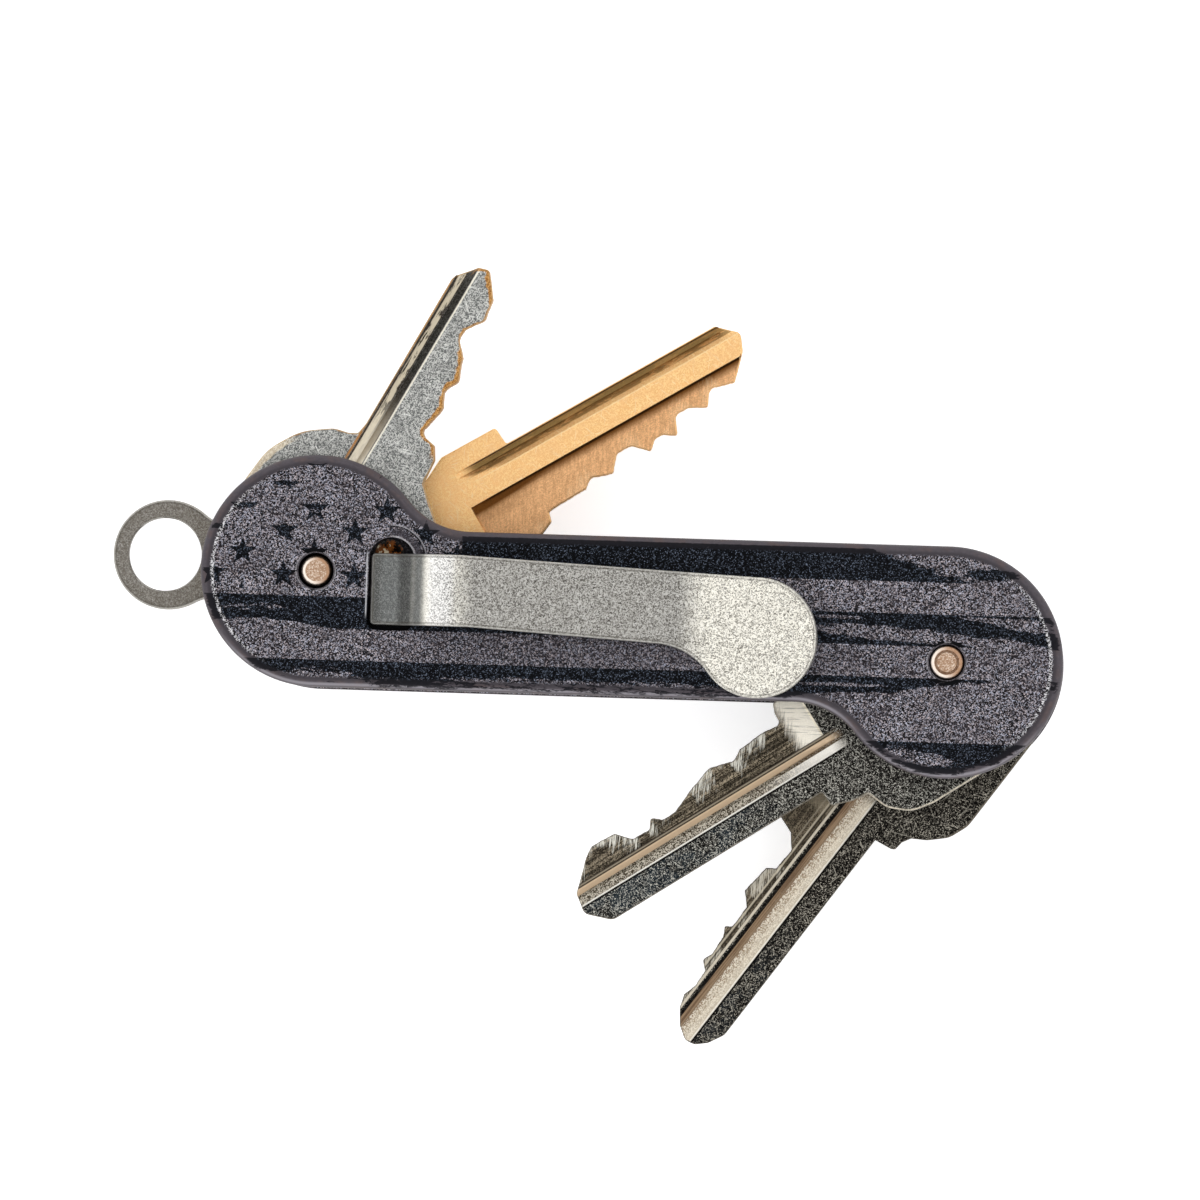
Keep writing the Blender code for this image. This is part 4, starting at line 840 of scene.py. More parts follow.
def openings_wear_and_painted_light(work, colour, x, y, z, depth, height, soft, mask):
    """Colour round the front scale's openings: at each bore a dished ring of painted shade, a pale ring on
    its edge that is wear and painted highlight, and a dark gap of painted shade next to the post; round the
    window's corner the lines of the step in painted highlight and painted shade, painted shade on the
    window's walls, and a painted highlight along its left side."""
    for _, post in POSTS:
        away = work.away(x - float(post[0]), y - float(post[1]))
        # Painted shade in the dished relief round the bore
        shaded_dish = work.mix(height, (48, 45, 49), (124, 120, 126))
        colour = work.mix(away.ease(1.98, 2.04, 0.8, 0), colour, shaded_dish)
        # Pale ring on the bore's edge: wear and painted highlight
        ring = away.band(1.96, 2.06, 0.03) * soft.ease(0.35, 0.6, 0.1, 0.6)
        colour = work.mix(ring, colour, (176, 174, 176))
        colour = work.mix(mask * away.band(1.93, 2.4, 0.03), colour, (7, 8, 11))
        # Painted shade: the dark gap between the bore and its post
        colour = work.mix(away.ease(1.79, 1.85, 0.95, 0), colour, (8, 7, 8))
    dx, dy = x - WINDOW_MIDDLE[0], y - WINDOW_MIDDLE[1]
    away, corner = work.away(dx, dy), dx.ease(-0.6, 0.4) * dy.ease(-0.3, 0.3)
    # Painted highlight and painted shade lines along the edges of the step round the window's corner
    for low, high, tint in ((2.34, 2.5, (176, 174, 176)), (2.56, 3.2, (58, 55, 60)),
                            (3.36, 3.5, (22, 21, 24)), (3.52, 3.64, (160, 158, 162))):
        colour = work.mix(away.band(low, high, 0.04) * corner * 0.75, colour, tint)
    # Painted shade on the window's walls and floor
    inside = z.band(FRONT_INNER + 0.06, FACE - 0.55, 0.05) * depth.ease(1.5, 1.9) * 0.9
    colour = work.mix(inside, colour, (16, 15, 17))
    # Painted highlight along the window's left edge
    lit = x.band(WINDOW_LEFT - 0.22, WINDOW_LEFT - 0.08, 0.04) * y.band(-0.7, 5.6, 0.5)
    return work.mix(lit * 0.75, colour, (204, 204, 206))


def tumbled_finish(name, colour, dark, rough, painted_bend_light=(), calm=(-99, -98)):
    """Stone-tumbled steel: dark pits and pale specks over a cloudy ground, bands along X of painted shade and
    painted highlight where the strip is bent, fewer pits before the calm limit, and at the edge a pale line
    of wear and painted highlight with a thin line of painted shade inside it."""
    work = Finish(name, 0.4, 0.9)
    place = work.place()
    x, _, _ = work.split(place)
    value, _ = work.grit(place, STEEL_GRAIN)
    cloud = work.noise(place, 0.8, 4.0, 0.65)
    base = work.mix(cloud.ease(0.35, 0.7, 0, 0.25), colour, dark)
    # Painted shade and painted highlight where the strip is bent
    for low, high, soft, tint, strength in painted_bend_light:
        wavy = x + (cloud - 0.5) * soft
        base = work.mix(wavy.band(low, high, soft) * strength, base, tint)
    rough = x.ease(*calm, 0.4 * rough, rough)
    speck = (255, 254, 250)
    base = work.mix((1.0 - value) ** 2.2 * rough, base, work.mix(0.95, base, (40, 32, 26)))
    base = work.mix(value ** 4.0 * rough, base, work.mix(0.3, base, speck))
    for turn, low in ((-25, 0.63), (10, 0.63), (40, 0.64)):
        scratch = work.streaks(place, (6.5, 1.1, 1), turn)
        base = work.mix(scratch.ease(low, low + 0.04, 0, 0.7) * rough, base, work.mix(0.25, base, speck))
    depth = work.depth()
    # A thin line of painted shade just inside the edge, then a pale line at the edge that is wear and painted
    # highlight
    base = work.mix(depth.band(0.2, 0.36, 0.05), base, work.mix(0.5, base, (84, 80, 72)))
    base = work.mix(depth.ease(0.12, 0.2, 0.45, 0), base, (214, 212, 204))
    return work.finish(base, value.ease(0.2, 0.9, 0.32, 0.46), work.bump(value, 0.00002))


def key_finish(name, key, look):
    """Scuffed key metal in the key's own frame: grains and scratches on the faces, the milled side, a tint
    for each part of the keyway, some of them painted shade and painted highlight lines, worn metal along
    every edge, and a painted highlight along the head's outline where the look gives one."""
    work = Finish(name, 0.34, 1.0)
    place, level = work.place(key["pin"], key["angle"]), work.place()
    u, v, _ = work.split(place)
    depth = work.depth()
    cloud = work.noise(place, 0.6, 4.0, 0.65)
    value, _ = work.grit(place, look["grain"])
    base = work.mix(value.ease(0.12, 0.8) ** look["crush"], look["dark"], look["colour"])
    toned = cloud.ease(0.38, 0.68, 0, look["cloud"]) * u.ease(*look["toned"])
    base = work.mix(toned, base, look["tone"])
    base = work.mix(value ** look["rare"] * look["sparkle"], base, look["pale"])
    for turn, low in ((20, 0.65), (-35, 0.66), (80, 0.67)):
        scratch = work.streaks(place, (7.0, 0.5, 1), turn)
        base = work.mix(scratch.ease(low, low + 0.04, 0, look["scratch"]), base, look["pale"])
    strokes = work.streaks(level, (9.0, 0.55, 0.5), -4, 3.0, 0.7)
    rows = work.streaks(place, (0.16, 6.0, 0.6), 0, 2.0, 0.6)
    height = value
    if key["step"]:
        top, _, end = key["step"]
        milled = v.ease(top - 0.04, top + 0.01, 1, 0) * u.ease(end - 0.04, end + 0.04)
        base = work.mix(milled, base, milled_ground(work, look, place, level, top, end, depth, value, cloud,
                                                    strokes, rows))
        height = value + milled * (strokes + rows) * 0.8
    groove_end = key["groove"][4]
    grooved = u.ease(groove_end + 0.4, groove_end + 2.5)
    kinds = {"speckled": lambda: value.ease(0.45, 0.6),
             "patchy": lambda: work.streaks(place, (0.35, 2.2, 1), 0, 5.0, 0.7).ease(0.43, 0.49),
             "rooted": lambda: u.ease(groove_end + 3.0, groove_end + 11.0, 1, 0),
             "drawn": lambda: rows.ease(0.42, 0.56)}
    for low, high, tint, strength, *kind in key["keyway_tints_and_light"]:
        area = v.band(low, high, 0.04) * grooved * strength
        base = work.mix(area * kinds[kind[0]]() if kind else area, base, tint)
    upward = work.rising().ease(0.3, 0.75)
    base = work.mix((1.0 - upward) * strokes.ease(0.4, 0.6, 0.1, look["side"]), base, look["pale"])
    edge = depth + (cloud - 0.5) * (-2.2 * look["wear"])
    bare = work.math("MAXIMUM", upward, u.ease(14.0, 16.0) * v.ease(1.0, 2.0, 1, 0))
    worn = edge.ease(0.25 * look["wear"], 0.75 * look["wear"], 0.75, 0) * bare
    base = work.mix(worn, base, look["worn"])
    if "band" in look:
        base = bronzed_edge(work, base, look["band"], level, u, v, depth, value, cloud, upward)
    base = work.mix(depth.ease(0.02, 0.15, 0.85, 0) * (upward * 0.7 + 0.3), base, look["edge"])
    if "head_highlight" in look:
        # Painted highlight along the outline of the head
        line = depth.ease(0.1, 0.24, 0.9, 0) * u.ease(13, 15, 1, 0) * value.ease(0.1, 0.5, 0.5, 1) * upward
        base = work.mix(line, base, look["head_highlight"])
    return work.finish(base, value.ease(0.2, 0.9, 0.28, 0.44), work.bump(height, 0.00003))


def milled_ground(work, look, place, level, top, end, depth, value, cloud, strokes, rows):
    """Colour of the milled side below the line at top and past the head's end: cross rows and grain, painted
    shade under the line, pale cutter strokes in from the cut edge and a cream patch by the head."""
    u, v, _ = work.split(place)
    dark = look["milled_dark"]
    ground = work.mix(rows.ease(0.36, 0.66, 1 - look["rows"], 1), dark, look["milled"])
    ground = work.mix(value.ease(0.1, 0.75, look["milled_grain"], 0), ground, dark)
    # Painted shade below the step's line, deepest near the line and towards the head
    under = v.ease(top - 3.0, top) * u.ease(end + 1.0, end + 9.0, 0.6, 0)
    under = v.ease(top - 1.3, top - 0.2, 0, 0.9) + under
    ground = work.mix(under * look["under"], ground, dark)
    weave = work.streaks(place, (0.9, 6.0, 0.3), 60, 1.0)
    ground = work.mix(weave.ease(0.42, 0.6, 0, look["weave"]), ground, dark)
    runs = work.streaks(place, (0.3, 0.05, 0.1), 0, 1.0).ease(0.42, 0.58, 1.2, -0.3)
    inward = depth + (strokes - 0.5) * -5.0 + (cloud - 0.5) * 2.4 + runs
    inward = inward.ease(-0.1, 1.1, look["strokes"], 0) * strokes.ease(0.44, 0.54, 0.15, 1)
    ground = work.mix(inward, ground, look["pale"])
    lines = work.streaks(level, (0.4, 6.5, 0.5)).ease(0.32, 0.46, 0.55, 1)
    patch = (u + strokes * 2.4).ease(end + 3.2, end + 4.6, 1, 0) * lines * look["patch"]
    return work.mix(patch, ground, look["cream"])


def bronzed_edge(work, base, band, level, u, v, depth, value, cloud, upward):
    """Small key's own wear: a bronzed band along its cut edge, a pale line round its head, and the brown
    stains that show through the drain hole."""
    low, high, tint = band
    reach = u.ease(26, 28, -1.4, -0.9) + u.ease(31.5, 33.5, 0, -0.6)
    worn = (depth + cloud * reach).ease(-0.36, -0.2, 1, 0)
    worn = worn * u.ease(low, low + 1.0) * v.ease(high, high + 0.8, 1, 0)
    base = work.mix(worn, base, work.mix(value, tint, (220, 170, 104)))
    rim = (depth + cloud * -0.8).ease(0.15, 0.35, 0.9, 0) * u.ease(9, 11, 1, 0) * v.ease(3, 5) * upward
    base = work.mix(rim, base, work.mix(value, (196, 178, 150), (240, 230, 208)))
    x, y, _ = work.split(level)
    bits = work.noise(level, 1.1, 3.0, 0.6)
    seen = work.mix(bits.ease(0.44, 0.5), (16, 11, 8), (128, 74, 32))
    seen = work.mix(bits.ease(0.58, 0.62), seen, (232, 216, 184))
    return work.mix(work.spot(x, y, DRAIN, (2.6, 2.6)), base, seen)


def post_finish(colour):
    """Copper-tinted end with a grainy flat, a ring painted brighter on one side as a highlight, a darker
    groove round the right post's flat, and painted shade on the shaft below."""
    work = Finish("copper_tinted_steel", 0.35, 1.0)
    place = work.place()
    x, y, z = work.split(place)
    grain = work.noise(place, 6.0, 3.0, 0.7)
    value, _ = work.grit(place, POST_GRAIN)
    base = work.mix(1.0 - value, colour, (158, 124, 98))
    base = work.mix(value ** 5.0 * 0.6, base, (246, 234, 218))
    for post, low, high, strength, groove in ((LEFT_POST, 1.08, 1.5, 0.9, 0.0),
                                              (RIGHT_POST, 1.28, 1.75, 0.8, 0.8)):
        dx, dy = x - float(post[0]), y - float(post[1])
        away = work.away(dx, dy)
        # Painted highlight: the ring on the post's end is paler on the side facing left and darker on the
        # other
        lit = (dx * -1.0 + dy * -0.3).ease(-0.9, 0.9)
        worn = work.mix(lit, (176, 138, 108), (255, 244, 230))
        base = work.mix(away.band(low, high, 0.05) * strength, base, worn)
        if groove:
            base = work.mix(away.band(1.1, 1.22, 0.04) * groove, base, (112, 84, 62))
    # Painted shade on the post below the face, down in its bore
    base = work.mix(z.ease(FACE - 1.2, FACE - 0.75, 0.9, 0), base, (30, 26, 24))
    return work.finish(base, grain.ease(0.3, 0.7, 0.26, 0.46), work.bump(grain, 0.00003))


def plain_metal(name, colour, roughness, scale):
    """Turned metal with a fine grain and faint stains."""
    work = Finish(name, roughness, 1.0)
    place = work.place()
    grain = work.noise(place, 6.0, 3.0, 0.7)
    dark = tuple(0.45 * c for c in colour[:3]) + (1.0,)
    base = work.mix(work.noise(place, scale, 3.0).ease(0.4, 0.75, 0, 0.6), colour, dark)
    base = work.mix(grain.ease(0.55, 0.75, 0, 0.4), base, dark)
    return work.finish(base, grain.ease(0.3, 0.7, roughness - 0.08, roughness + 0.1),
                       work.bump(grain, 0.00002, 0.6))


def nylon_finish():
    """Milky nylon with a faint mottle."""
    work = Finish("nylon", 0.5)
    grain = work.noise(work.place(), 3.0, 3.0)
    base = work.mix(grain.ease(0.3, 0.7), (205, 203, 196), (228, 226, 220))
    return work.finish(base, normal=work.bump(grain, 0.00003, 0.4))


def floor_finish():
    """Matt white that also glows a little towards the camera and in reflections, so that it reads as white
    and still takes the shadow."""
    work = Finish("pale_floor", 0.9)
    tone = work.noise(work.place(), 0.02, 2.0)
    work.finish(work.mix(tone, (232, 232, 232), (236, 236, 236)))
    rays = work.nodes.new("ShaderNodeLightPath").outputs
    camera, glossy, through = (Value(work, rays[f"Is {kind} Ray"])
                               for kind in ("Camera", "Glossy", "Transmission"))
    seen = work.math("MINIMUM", camera * 1.5 + glossy + through, 1.5)
    glow = work.node("Emission", {"Strength": seen * FLOOR_GLOW})
    both = work.node("AddShader", {0: Value(work, work.shader.outputs[0]), 1: glow})
    work.feed(work.output.inputs[0], both)
    return work.made


# Pieces

def make_scale(scene, names, upper, cutters):
    """Scale: the outline moved inwards ring by ring, over the inner edge, up the side, round the rim and a
    little way over the face, closed by a flat cap at each end and cut by its openings."""
    name, coat, node = names
    sizes = scene.organizer_handle
    outline, away = handle_outline(sizes.segments)
    rim, broken = sizes.rim / MM, sizes.inner_edge / MM
    turn = np.radians(np.linspace(0, 90, 13))
    insets = np.concatenate([[broken, 0.3 * broken, 0.0], rim * (1 - np.cos(turn)), FACE_RINGS])
    heights = np.concatenate([[0.0, 0.3 * broken, broken], SCALE_THICK - rim * (1 - np.sin(turn)),
                              [SCALE_THICK] * len(FACE_RINGS)])
    rings = outline[None] - away[None] * insets[:, None, None]
    mesh = stacked(name + "_blank", rings, FRONT_INNER + heights if upper else SCALE_THICK - heights)
    tidy_mesh(mesh)
    mesh = cut(mesh, cutters, name)
    store_depth(mesh, edge_depth(mesh_points(mesh)[:, :2], outline))
    put(mesh, scale_finish(scene.organizer_finish, coat, upper), "handle", node)


def window_shape(grow):
    """Outline of the clip's window: nearly a full round at the top and small corners at the bottom."""
    left, right = WINDOW_LEFT - grow, WINDOW_LEFT + WINDOW_WIDTH + grow
    low, high = WINDOW_BOTTOM - grow, WINDOW_TOP + grow
    top = (right - left) / 2 * ROUND_SHARE
    return rounded([(left, low, WINDOW_CORNER + grow), (right, low, WINDOW_CORNER + grow), (right, high, top),
                    (left, high, top)], 16)


def ledge_shape(grow):
    """Outline of the shallow step beside the window, following its round."""
    middle, reach = WINDOW_MIDDLE[0], WINDOW_LEFT + WINDOW_WIDTH + LEDGE_WIDTH + grow
    high = WINDOW_MIDDLE[1] + (reach - middle)
    return rounded([(middle, CLIP_ROOT_BOTTOM - grow, 0), (reach, CLIP_ROOT_BOTTOM - grow, WINDOW_CORNER),
                    (reach, high, (reach - middle) * ROUND_SHARE), (middle, high, 0)], 16)


class ORGANIZER_OT_back_scale(bpy.types.Operator):
    """Back scale with its hexagonal nut pockets"""
    bl_idname = "organizer.back_scale"
    bl_label = "Back scale"

    def execute(self, context):
        pocket, hole = NUT_RADIUS + 0.2, STUD_RADIUS + POST_FIT
        cutters = []
        for side, post in POSTS:
            cutters += [
                plug(side + "_pocket",
                     [(pocket + .9, -PAST), (pocket, .1), (pocket, NUT_POCKET_DEPTH)], post, 6),
                plug(side + "_hole",
                     [(hole, PAST), (hole, SCALE_THICK - .1), (hole + .8, SCALE_THICK + .7)], post)]
        names = ("coated_back_scale", "plain_coating", "back_scale")
        make_scale(context.scene, names, False, cutters)
        return {"FINISHED"}


class ORGANIZER_OT_front_scale(bpy.types.Operator):
    """Front scale with its rim, bores, clip window and print"""
    bl_idname = "organizer.front_scale"
    bl_label = "Front scale"

    def execute(self, context):
        wide, hole, below = RELIEF_RADIUS + BORE_CHAMFER, BORE_RADIUS, FRONT_INNER - PAST
        bore = [(wide + 1, FACE + PAST), (wide, FACE), (wide - .08, FACE - .05), (RELIEF_RADIUS, FACE - .16),
                (hole + .05, FACE - .27), (hole, FACE - .4), (hole, below)]
        rivet = [(RIVET_HOLE, FACE - BELOW), (RIVET_HOLE, FRONT_INNER + .9), (RIVET_HEAD, FRONT_INNER + .2),
                 (RIVET_HEAD, below)]
        cutters = [
            stacked("ledge", [ledge_shape(g) for g in (0, 0, .15)],
                    (FACE - LEDGE_DEPTH, FACE - .04, FACE + PAST)),
            stacked("window", [window_shape(g) for g in (0, 0, .1, .9)],
                    (FACE - WINDOW_DEPTH, FACE - .14, FACE, FACE + PAST)),
            plug("left_bore", bore, LEFT_POST), plug("right_bore", bore, RIGHT_POST),
            plug("rivet_hole", rivet, RIVET),
            plug("drain", [(DRAIN_RADIUS, FACE - BELOW), (DRAIN_RADIUS, below)], DRAIN)]
        make_scale(context.scene, ("printed_front_scale", "printed_coating", "front_scale"), True, cutters)
        return {"FINISHED"}


class ORGANIZER_OT_posts(bpy.types.Operator):
    """Two posts with domed ends that show in the face, the right one grooved"""
    bl_idname = "organizer.posts"
    bl_label = "Posts"

    def crown(self, radius, top, size):
        """Quarter round at the top of a post, from its flat down to its side."""
        turn = np.radians(np.linspace(90, 0, 11))
        return np.stack([radius + size[0] * np.cos(turn), top - .4 + size[1] * np.sin(turn)], axis=1).tolist()

    def execute(self, context):
        finish = post_finish(tuple(context.scene.organizer_finish.post))
        for (side, post), sink in zip(POSTS, (LEFT_SINK, RIGHT_SINK)):
            top = FACE - sink
            if side == "left":
                profile = [(0, top), (0.8, top - 0.001), *self.crown(1.14, top, (.42, .4)), (1.6, top - .7)]
            else:
                profile = [(0, top), (0.98, top - 0.001), (1.04, top - .05), (1.1, top - .2),
                           (1.18, top - .22), (1.28, top - .13), *self.crown(1.4, top, (.3, .3))]
            profile += [(POST_RADIUS, top - 1.0), (POST_RADIUS, POST_SHOULDER), (STUD_RADIUS, POST_SHOULDER),
                        (STUD_RADIUS, STUD_FOOT + STUD_BREAK), (STUD_RADIUS - STUD_BREAK, STUD_FOOT),
                        (0, STUD_FOOT)]
            mesh = revolve(side + "_post_turned", profile, post)
            tidy_mesh(mesh)
            put(mesh, finish, "handle", side + "_post")
        return {"FINISHED"}


class ORGANIZER_OT_stack(bpy.types.Operator):
    """Washers, spacers and shim on the posts"""
    bl_idname = "organizer.stack"
    bl_label = "Washers and spacers"

    def execute(self, context):
        colours = context.scene.organizer_finish
        bronze = plain_metal("bronze_washer", tuple(colours.bronze), 0.36, 1.2)
        steel = plain_metal("spacer_steel", tuple(colours.loop), 0.34, 0.8)
        for side, post in POSTS:
            for index, low in enumerate(WASHER_FLOORS, 1):
                self.ring(f"{side}_thin_washer_{index}", post, WASHER_RADIUS, low, low + WASHER_THICK, 0.06,
                          bronze, "bronze", f"{side}_washer_{index}")
        self.ring("turned_left_shim", LEFT_POST, SPACER_RADIUS, SHIM_FLOOR, SHIM_TOP, 0.12, steel, "steel",
                  "left_shim")
        for name, post, layer in (("left_spacer", LEFT_POST, 2), ("right_rear_spacer", RIGHT_POST, 1),
                                  ("right_front_spacer", RIGHT_POST, 3)):
            low = LAYER_FLOORS[layer]
            self.ring("turned_" + name, post, SPACER_RADIUS, low, low + LAYER_THICK[layer], 0.2, steel,
                      "steel", name)
        return {"FINISHED"}

    def ring(self, name, post, outer, low, high, edge, finish, slot, node):
        """Ring on a post with its two outer edges rounded by two short faces each."""
        c = edge * (1 - math.sqrt(0.5))
        profile = [(outer - edge, high), (outer - c, high - c), (outer, high - edge), (outer, low + edge),
                   (outer - c, low + c), (outer - edge, low), (BORE_RADIUS, low), (BORE_RADIUS, high)]
        mesh = revolve(name, profile, post, looped=True)
        tidy_mesh(mesh, 50.0)
        put(mesh, finish, "handle", node)


class ORGANIZER_OT_fasteners(bpy.types.Operator):
    """Finish the CAD's lock nuts, their nylon inserts and the clip's rivet"""
    bl_idname = "organizer.fasteners"
    bl_label = "Nuts and rivet"

    def execute(self, context):
        steel = plain_metal("plated_nut_steel", rgb(196, 194, 188), 0.3, 1.5)
        nylon = nylon_finish()
        for name, finish in (("left_lock_nut", steel), ("right_lock_nut", steel), ("clip_rivet", steel),
                             ("left_nut_insert", nylon), ("right_nut_insert", nylon)):
            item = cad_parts[name]
            item.data.materials.clear()
            item.data.materials.append(finish)
        return {"FINISHED"}


class ORGANIZER_OT_loop(bpy.types.Operator):
    """Loop plate with its round eye"""
    bl_idname = "organizer.loop"
    bl_label = "Ring loop"

    def half_width(self, u):
        """Half width along the plate: the ear's circle, a hollow arc, the neck, a hollow arc, the eye's
        circle, each where it lies widest or, for the hollows, narrowest."""
        width = np.zeros_like(u)
        for centre, size in ((0.0, LOOP_EAR_RADIUS), (LOOP_REACH, LOOP_RADIUS)):
            width = np.maximum(width, np.sqrt(np.maximum(size ** 2 - (u - centre) ** 2, 0)))
        for centre, size, side in ((0.0, LOOP_EAR_RADIUS, 1), (LOOP_REACH, LOOP_RADIUS, -1)):
            offset = math.sqrt((size + LOOP_NECK_ROUND) ** 2 - (LOOP_NECK_HALF + LOOP_NECK_ROUND) ** 2)
            hollow = centre + side * offset
            start = centre + side * offset * size / (size + LOOP_NECK_ROUND)
            inside = ((u - start) * side > 0) & ((u - hollow) * side < 0)
            round_in = np.sqrt(np.maximum(LOOP_NECK_ROUND ** 2 - (u - hollow) ** 2, 0))
            width = np.where(inside, LOOP_NECK_HALF + LOOP_NECK_ROUND - round_in, width)
        return np.where((u > 0) & (u < LOOP_REACH), np.maximum(width, LOOP_NECK_HALF), width)

    def execute(self, context):
        turn = np.linspace(0, np.pi, 181)
        low_end, high_end = -LOOP_EAR_RADIUS, LOOP_REACH + LOOP_RADIUS
        u = (low_end + high_end) / 2 - (high_end - low_end) / 2 * np.cos(turn)
        u = np.clip(u, low_end + 1e-3, high_end - 1e-3)
        half = self.half_width(u)
        rows = across(-half, half, np.arange(-5.2, 5.3, 0.4), LOOP_RIMS)
        depth = rim_depth(u, rows, -half, half, 9)
        rise = LOOP_THICK / 2 - rim_drop(depth, LOOP_EDGE)
        low, high = LAYER_FLOORS[0], LAYER_FLOORS[0] + LOOP_THICK
        middle = low + LOOP_THICK / 2
        upper, under = (turned_flat(u[:, None], rows, middle + side * rise, LEFT_POST, LOOP_ANGLE)
                        for side in (1, -1))
        mesh = two_sided("stamped_loop_blank", upper, under, depth, depth)
        eye = turned_flat(LOOP_EYE_REACH, 0.0, 0.0, LEFT_POST, LOOP_ANGLE)[:2]
        cutters = []
        for name, centre, size in (("eye", eye, LOOP_EYE_RADIUS), ("post_hole", LEFT_POST, BORE_RADIUS)):
            cutters.append(plug(name, [
                (size + 1.1, low - PAST), (size + .07, low + .03), (size, low + .15), (size, high - .15),
                (size + .07, high - .03), (size + 1.1, high + PAST)], centre, 120))
        mesh = cut(mesh, cutters, "stamped_loop")
        finish = tumbled_finish("brown_grey_steel", tuple(context.scene.organizer_finish.loop),
                                (104, 98, 86), 0.5)
        put(mesh, finish, "loop", "anchor_loop")
        return {"FINISHED"}


def keyway_depth(u, v, way):
    """Depth of a milled keyway: the full depth from its wall to its floor line, a slope from there up to
    the ridge, less the cutter's run-out (u0 - u)^2 / 2R before it reaches full depth."""
    wall, floor, ridge, deep, end = way
    side = 1.0 if wall > ridge else -1.0
    slope = deep * (floor - v) / (floor - ridge)
    section = np.where((v - floor) * side > 0, deep, deep - slope)
    section = np.where((v - wall) * side > 0, 0.0, section)
    full = end + math.sqrt(2 * GROOVE_RUN_RADIUS * deep)
    rise = np.where(u < full, (full - u) ** 2 / (2 * GROOVE_RUN_RADIUS), 0.0)
    return np.clip(np.minimum(section, deep) - rise, 0, deep)


def keyway_lines(way):
    """Rows that keep a keyway's wall, floor line and ridge crisp."""
    wall, floor, ridge = way[:3]
    return [wall - .015, wall + .015, floor - .04, floor, floor + .04, ridge - .04, ridge, ridge + .04]


class ORGANIZER_OT_keys(bpy.types.Operator):
    """Four cut keys with milled keyways and worn edges"""
    bl_idname = "organizer.keys"
    bl_label = "Keys"

    def key_mesh(self, name, key, sizes):
        """Key as a height over its outline: half the sheet's thickness, less the keyway, the milled step
        and the round of the edge, on a grid of stations along the blade and rows across it."""
        outline = rounded(key["head"] + key["bitting"] + key["tip"], 6)
        u = stations(outline, sizes.step / MM)
        low, high = spans(outline, u)
        cut_side = (u > key["bitting"][0][0] - .2) & (u < key["tip"][-1][0])
        low = low + np.where(cut_side, ripple(u * 1.4, key["seed"]) * sizes.burr / MM, 0.0)
        thick = LAYER_THICK[key["layer"]]
        coarse = np.arange(-11.6, 12.0, 0.8)
        top, deep, end = key["step"] or (0, 0, 0)
        crisp = [top - .015, top + .015] if key["step"] else []
        lines = np.concatenate([coarse, np.arange(-7.9, 7.4, 0.22), keyway_lines(key["groove"]), crisp])
        upper = across(low, high, np.unique(np.round(lines, 4)), KEY_RIMS)
        lines = np.concatenate([coarse, keyway_lines(key["back"])])
        under = across(low, high, np.unique(np.round(lines, 4)), KEY_RIMS)
        place = u[:, None] + np.zeros_like(upper)
        fall = keyway_depth(place, upper, key["groove"])
        if key["step"]:
            fall = np.maximum(fall, np.where((upper < top) & (place > end), deep, 0.0))
        upper_depth = rim_depth(u, upper, low, high)
        under_depth = rim_depth(u, under, low, high)
        edge = sizes.edge / MM
        upper_z = thick / 2 - fall - rim_drop(upper_depth, edge)
        under_z = -thick / 2 + keyway_depth(u[:, None] + 0 * under, under, key["back"])
        under_z = under_z + rim_drop(under_depth, edge)
        middle = LAYER_FLOORS[key["layer"]] + thick / 2
        mesh = two_sided(name + "_blank",
                         turned_flat(place, upper, middle + upper_z, key["pin"], key["angle"]),
                         turned_flat(u[:, None], under, middle + under_z, key["pin"], key["angle"]),
                         upper_depth, under_depth)
        hole = plug("hole", [(BORE_RADIUS, middle - 3), (BORE_RADIUS, middle + 3)], key["pin"], 64)
        return cut(mesh, [hole], name)

    def execute(self, context):
        scene = context.scene
        painted = {"brass": scene.organizer_finish.brass, "front": scene.organizer_finish.nickel}
        for label, key in KEYS.items():
            look = dict(LOOKS[label])
            if label in painted:
                look["colour"] = tuple(painted[label])
            mesh = self.key_mesh("cut_" + label + "_key", key, scene.organizer_keys)
            put(mesh, key_finish(label + "_key_metal", key, look), key["body"], key["node"])
        return {"FINISHED"}


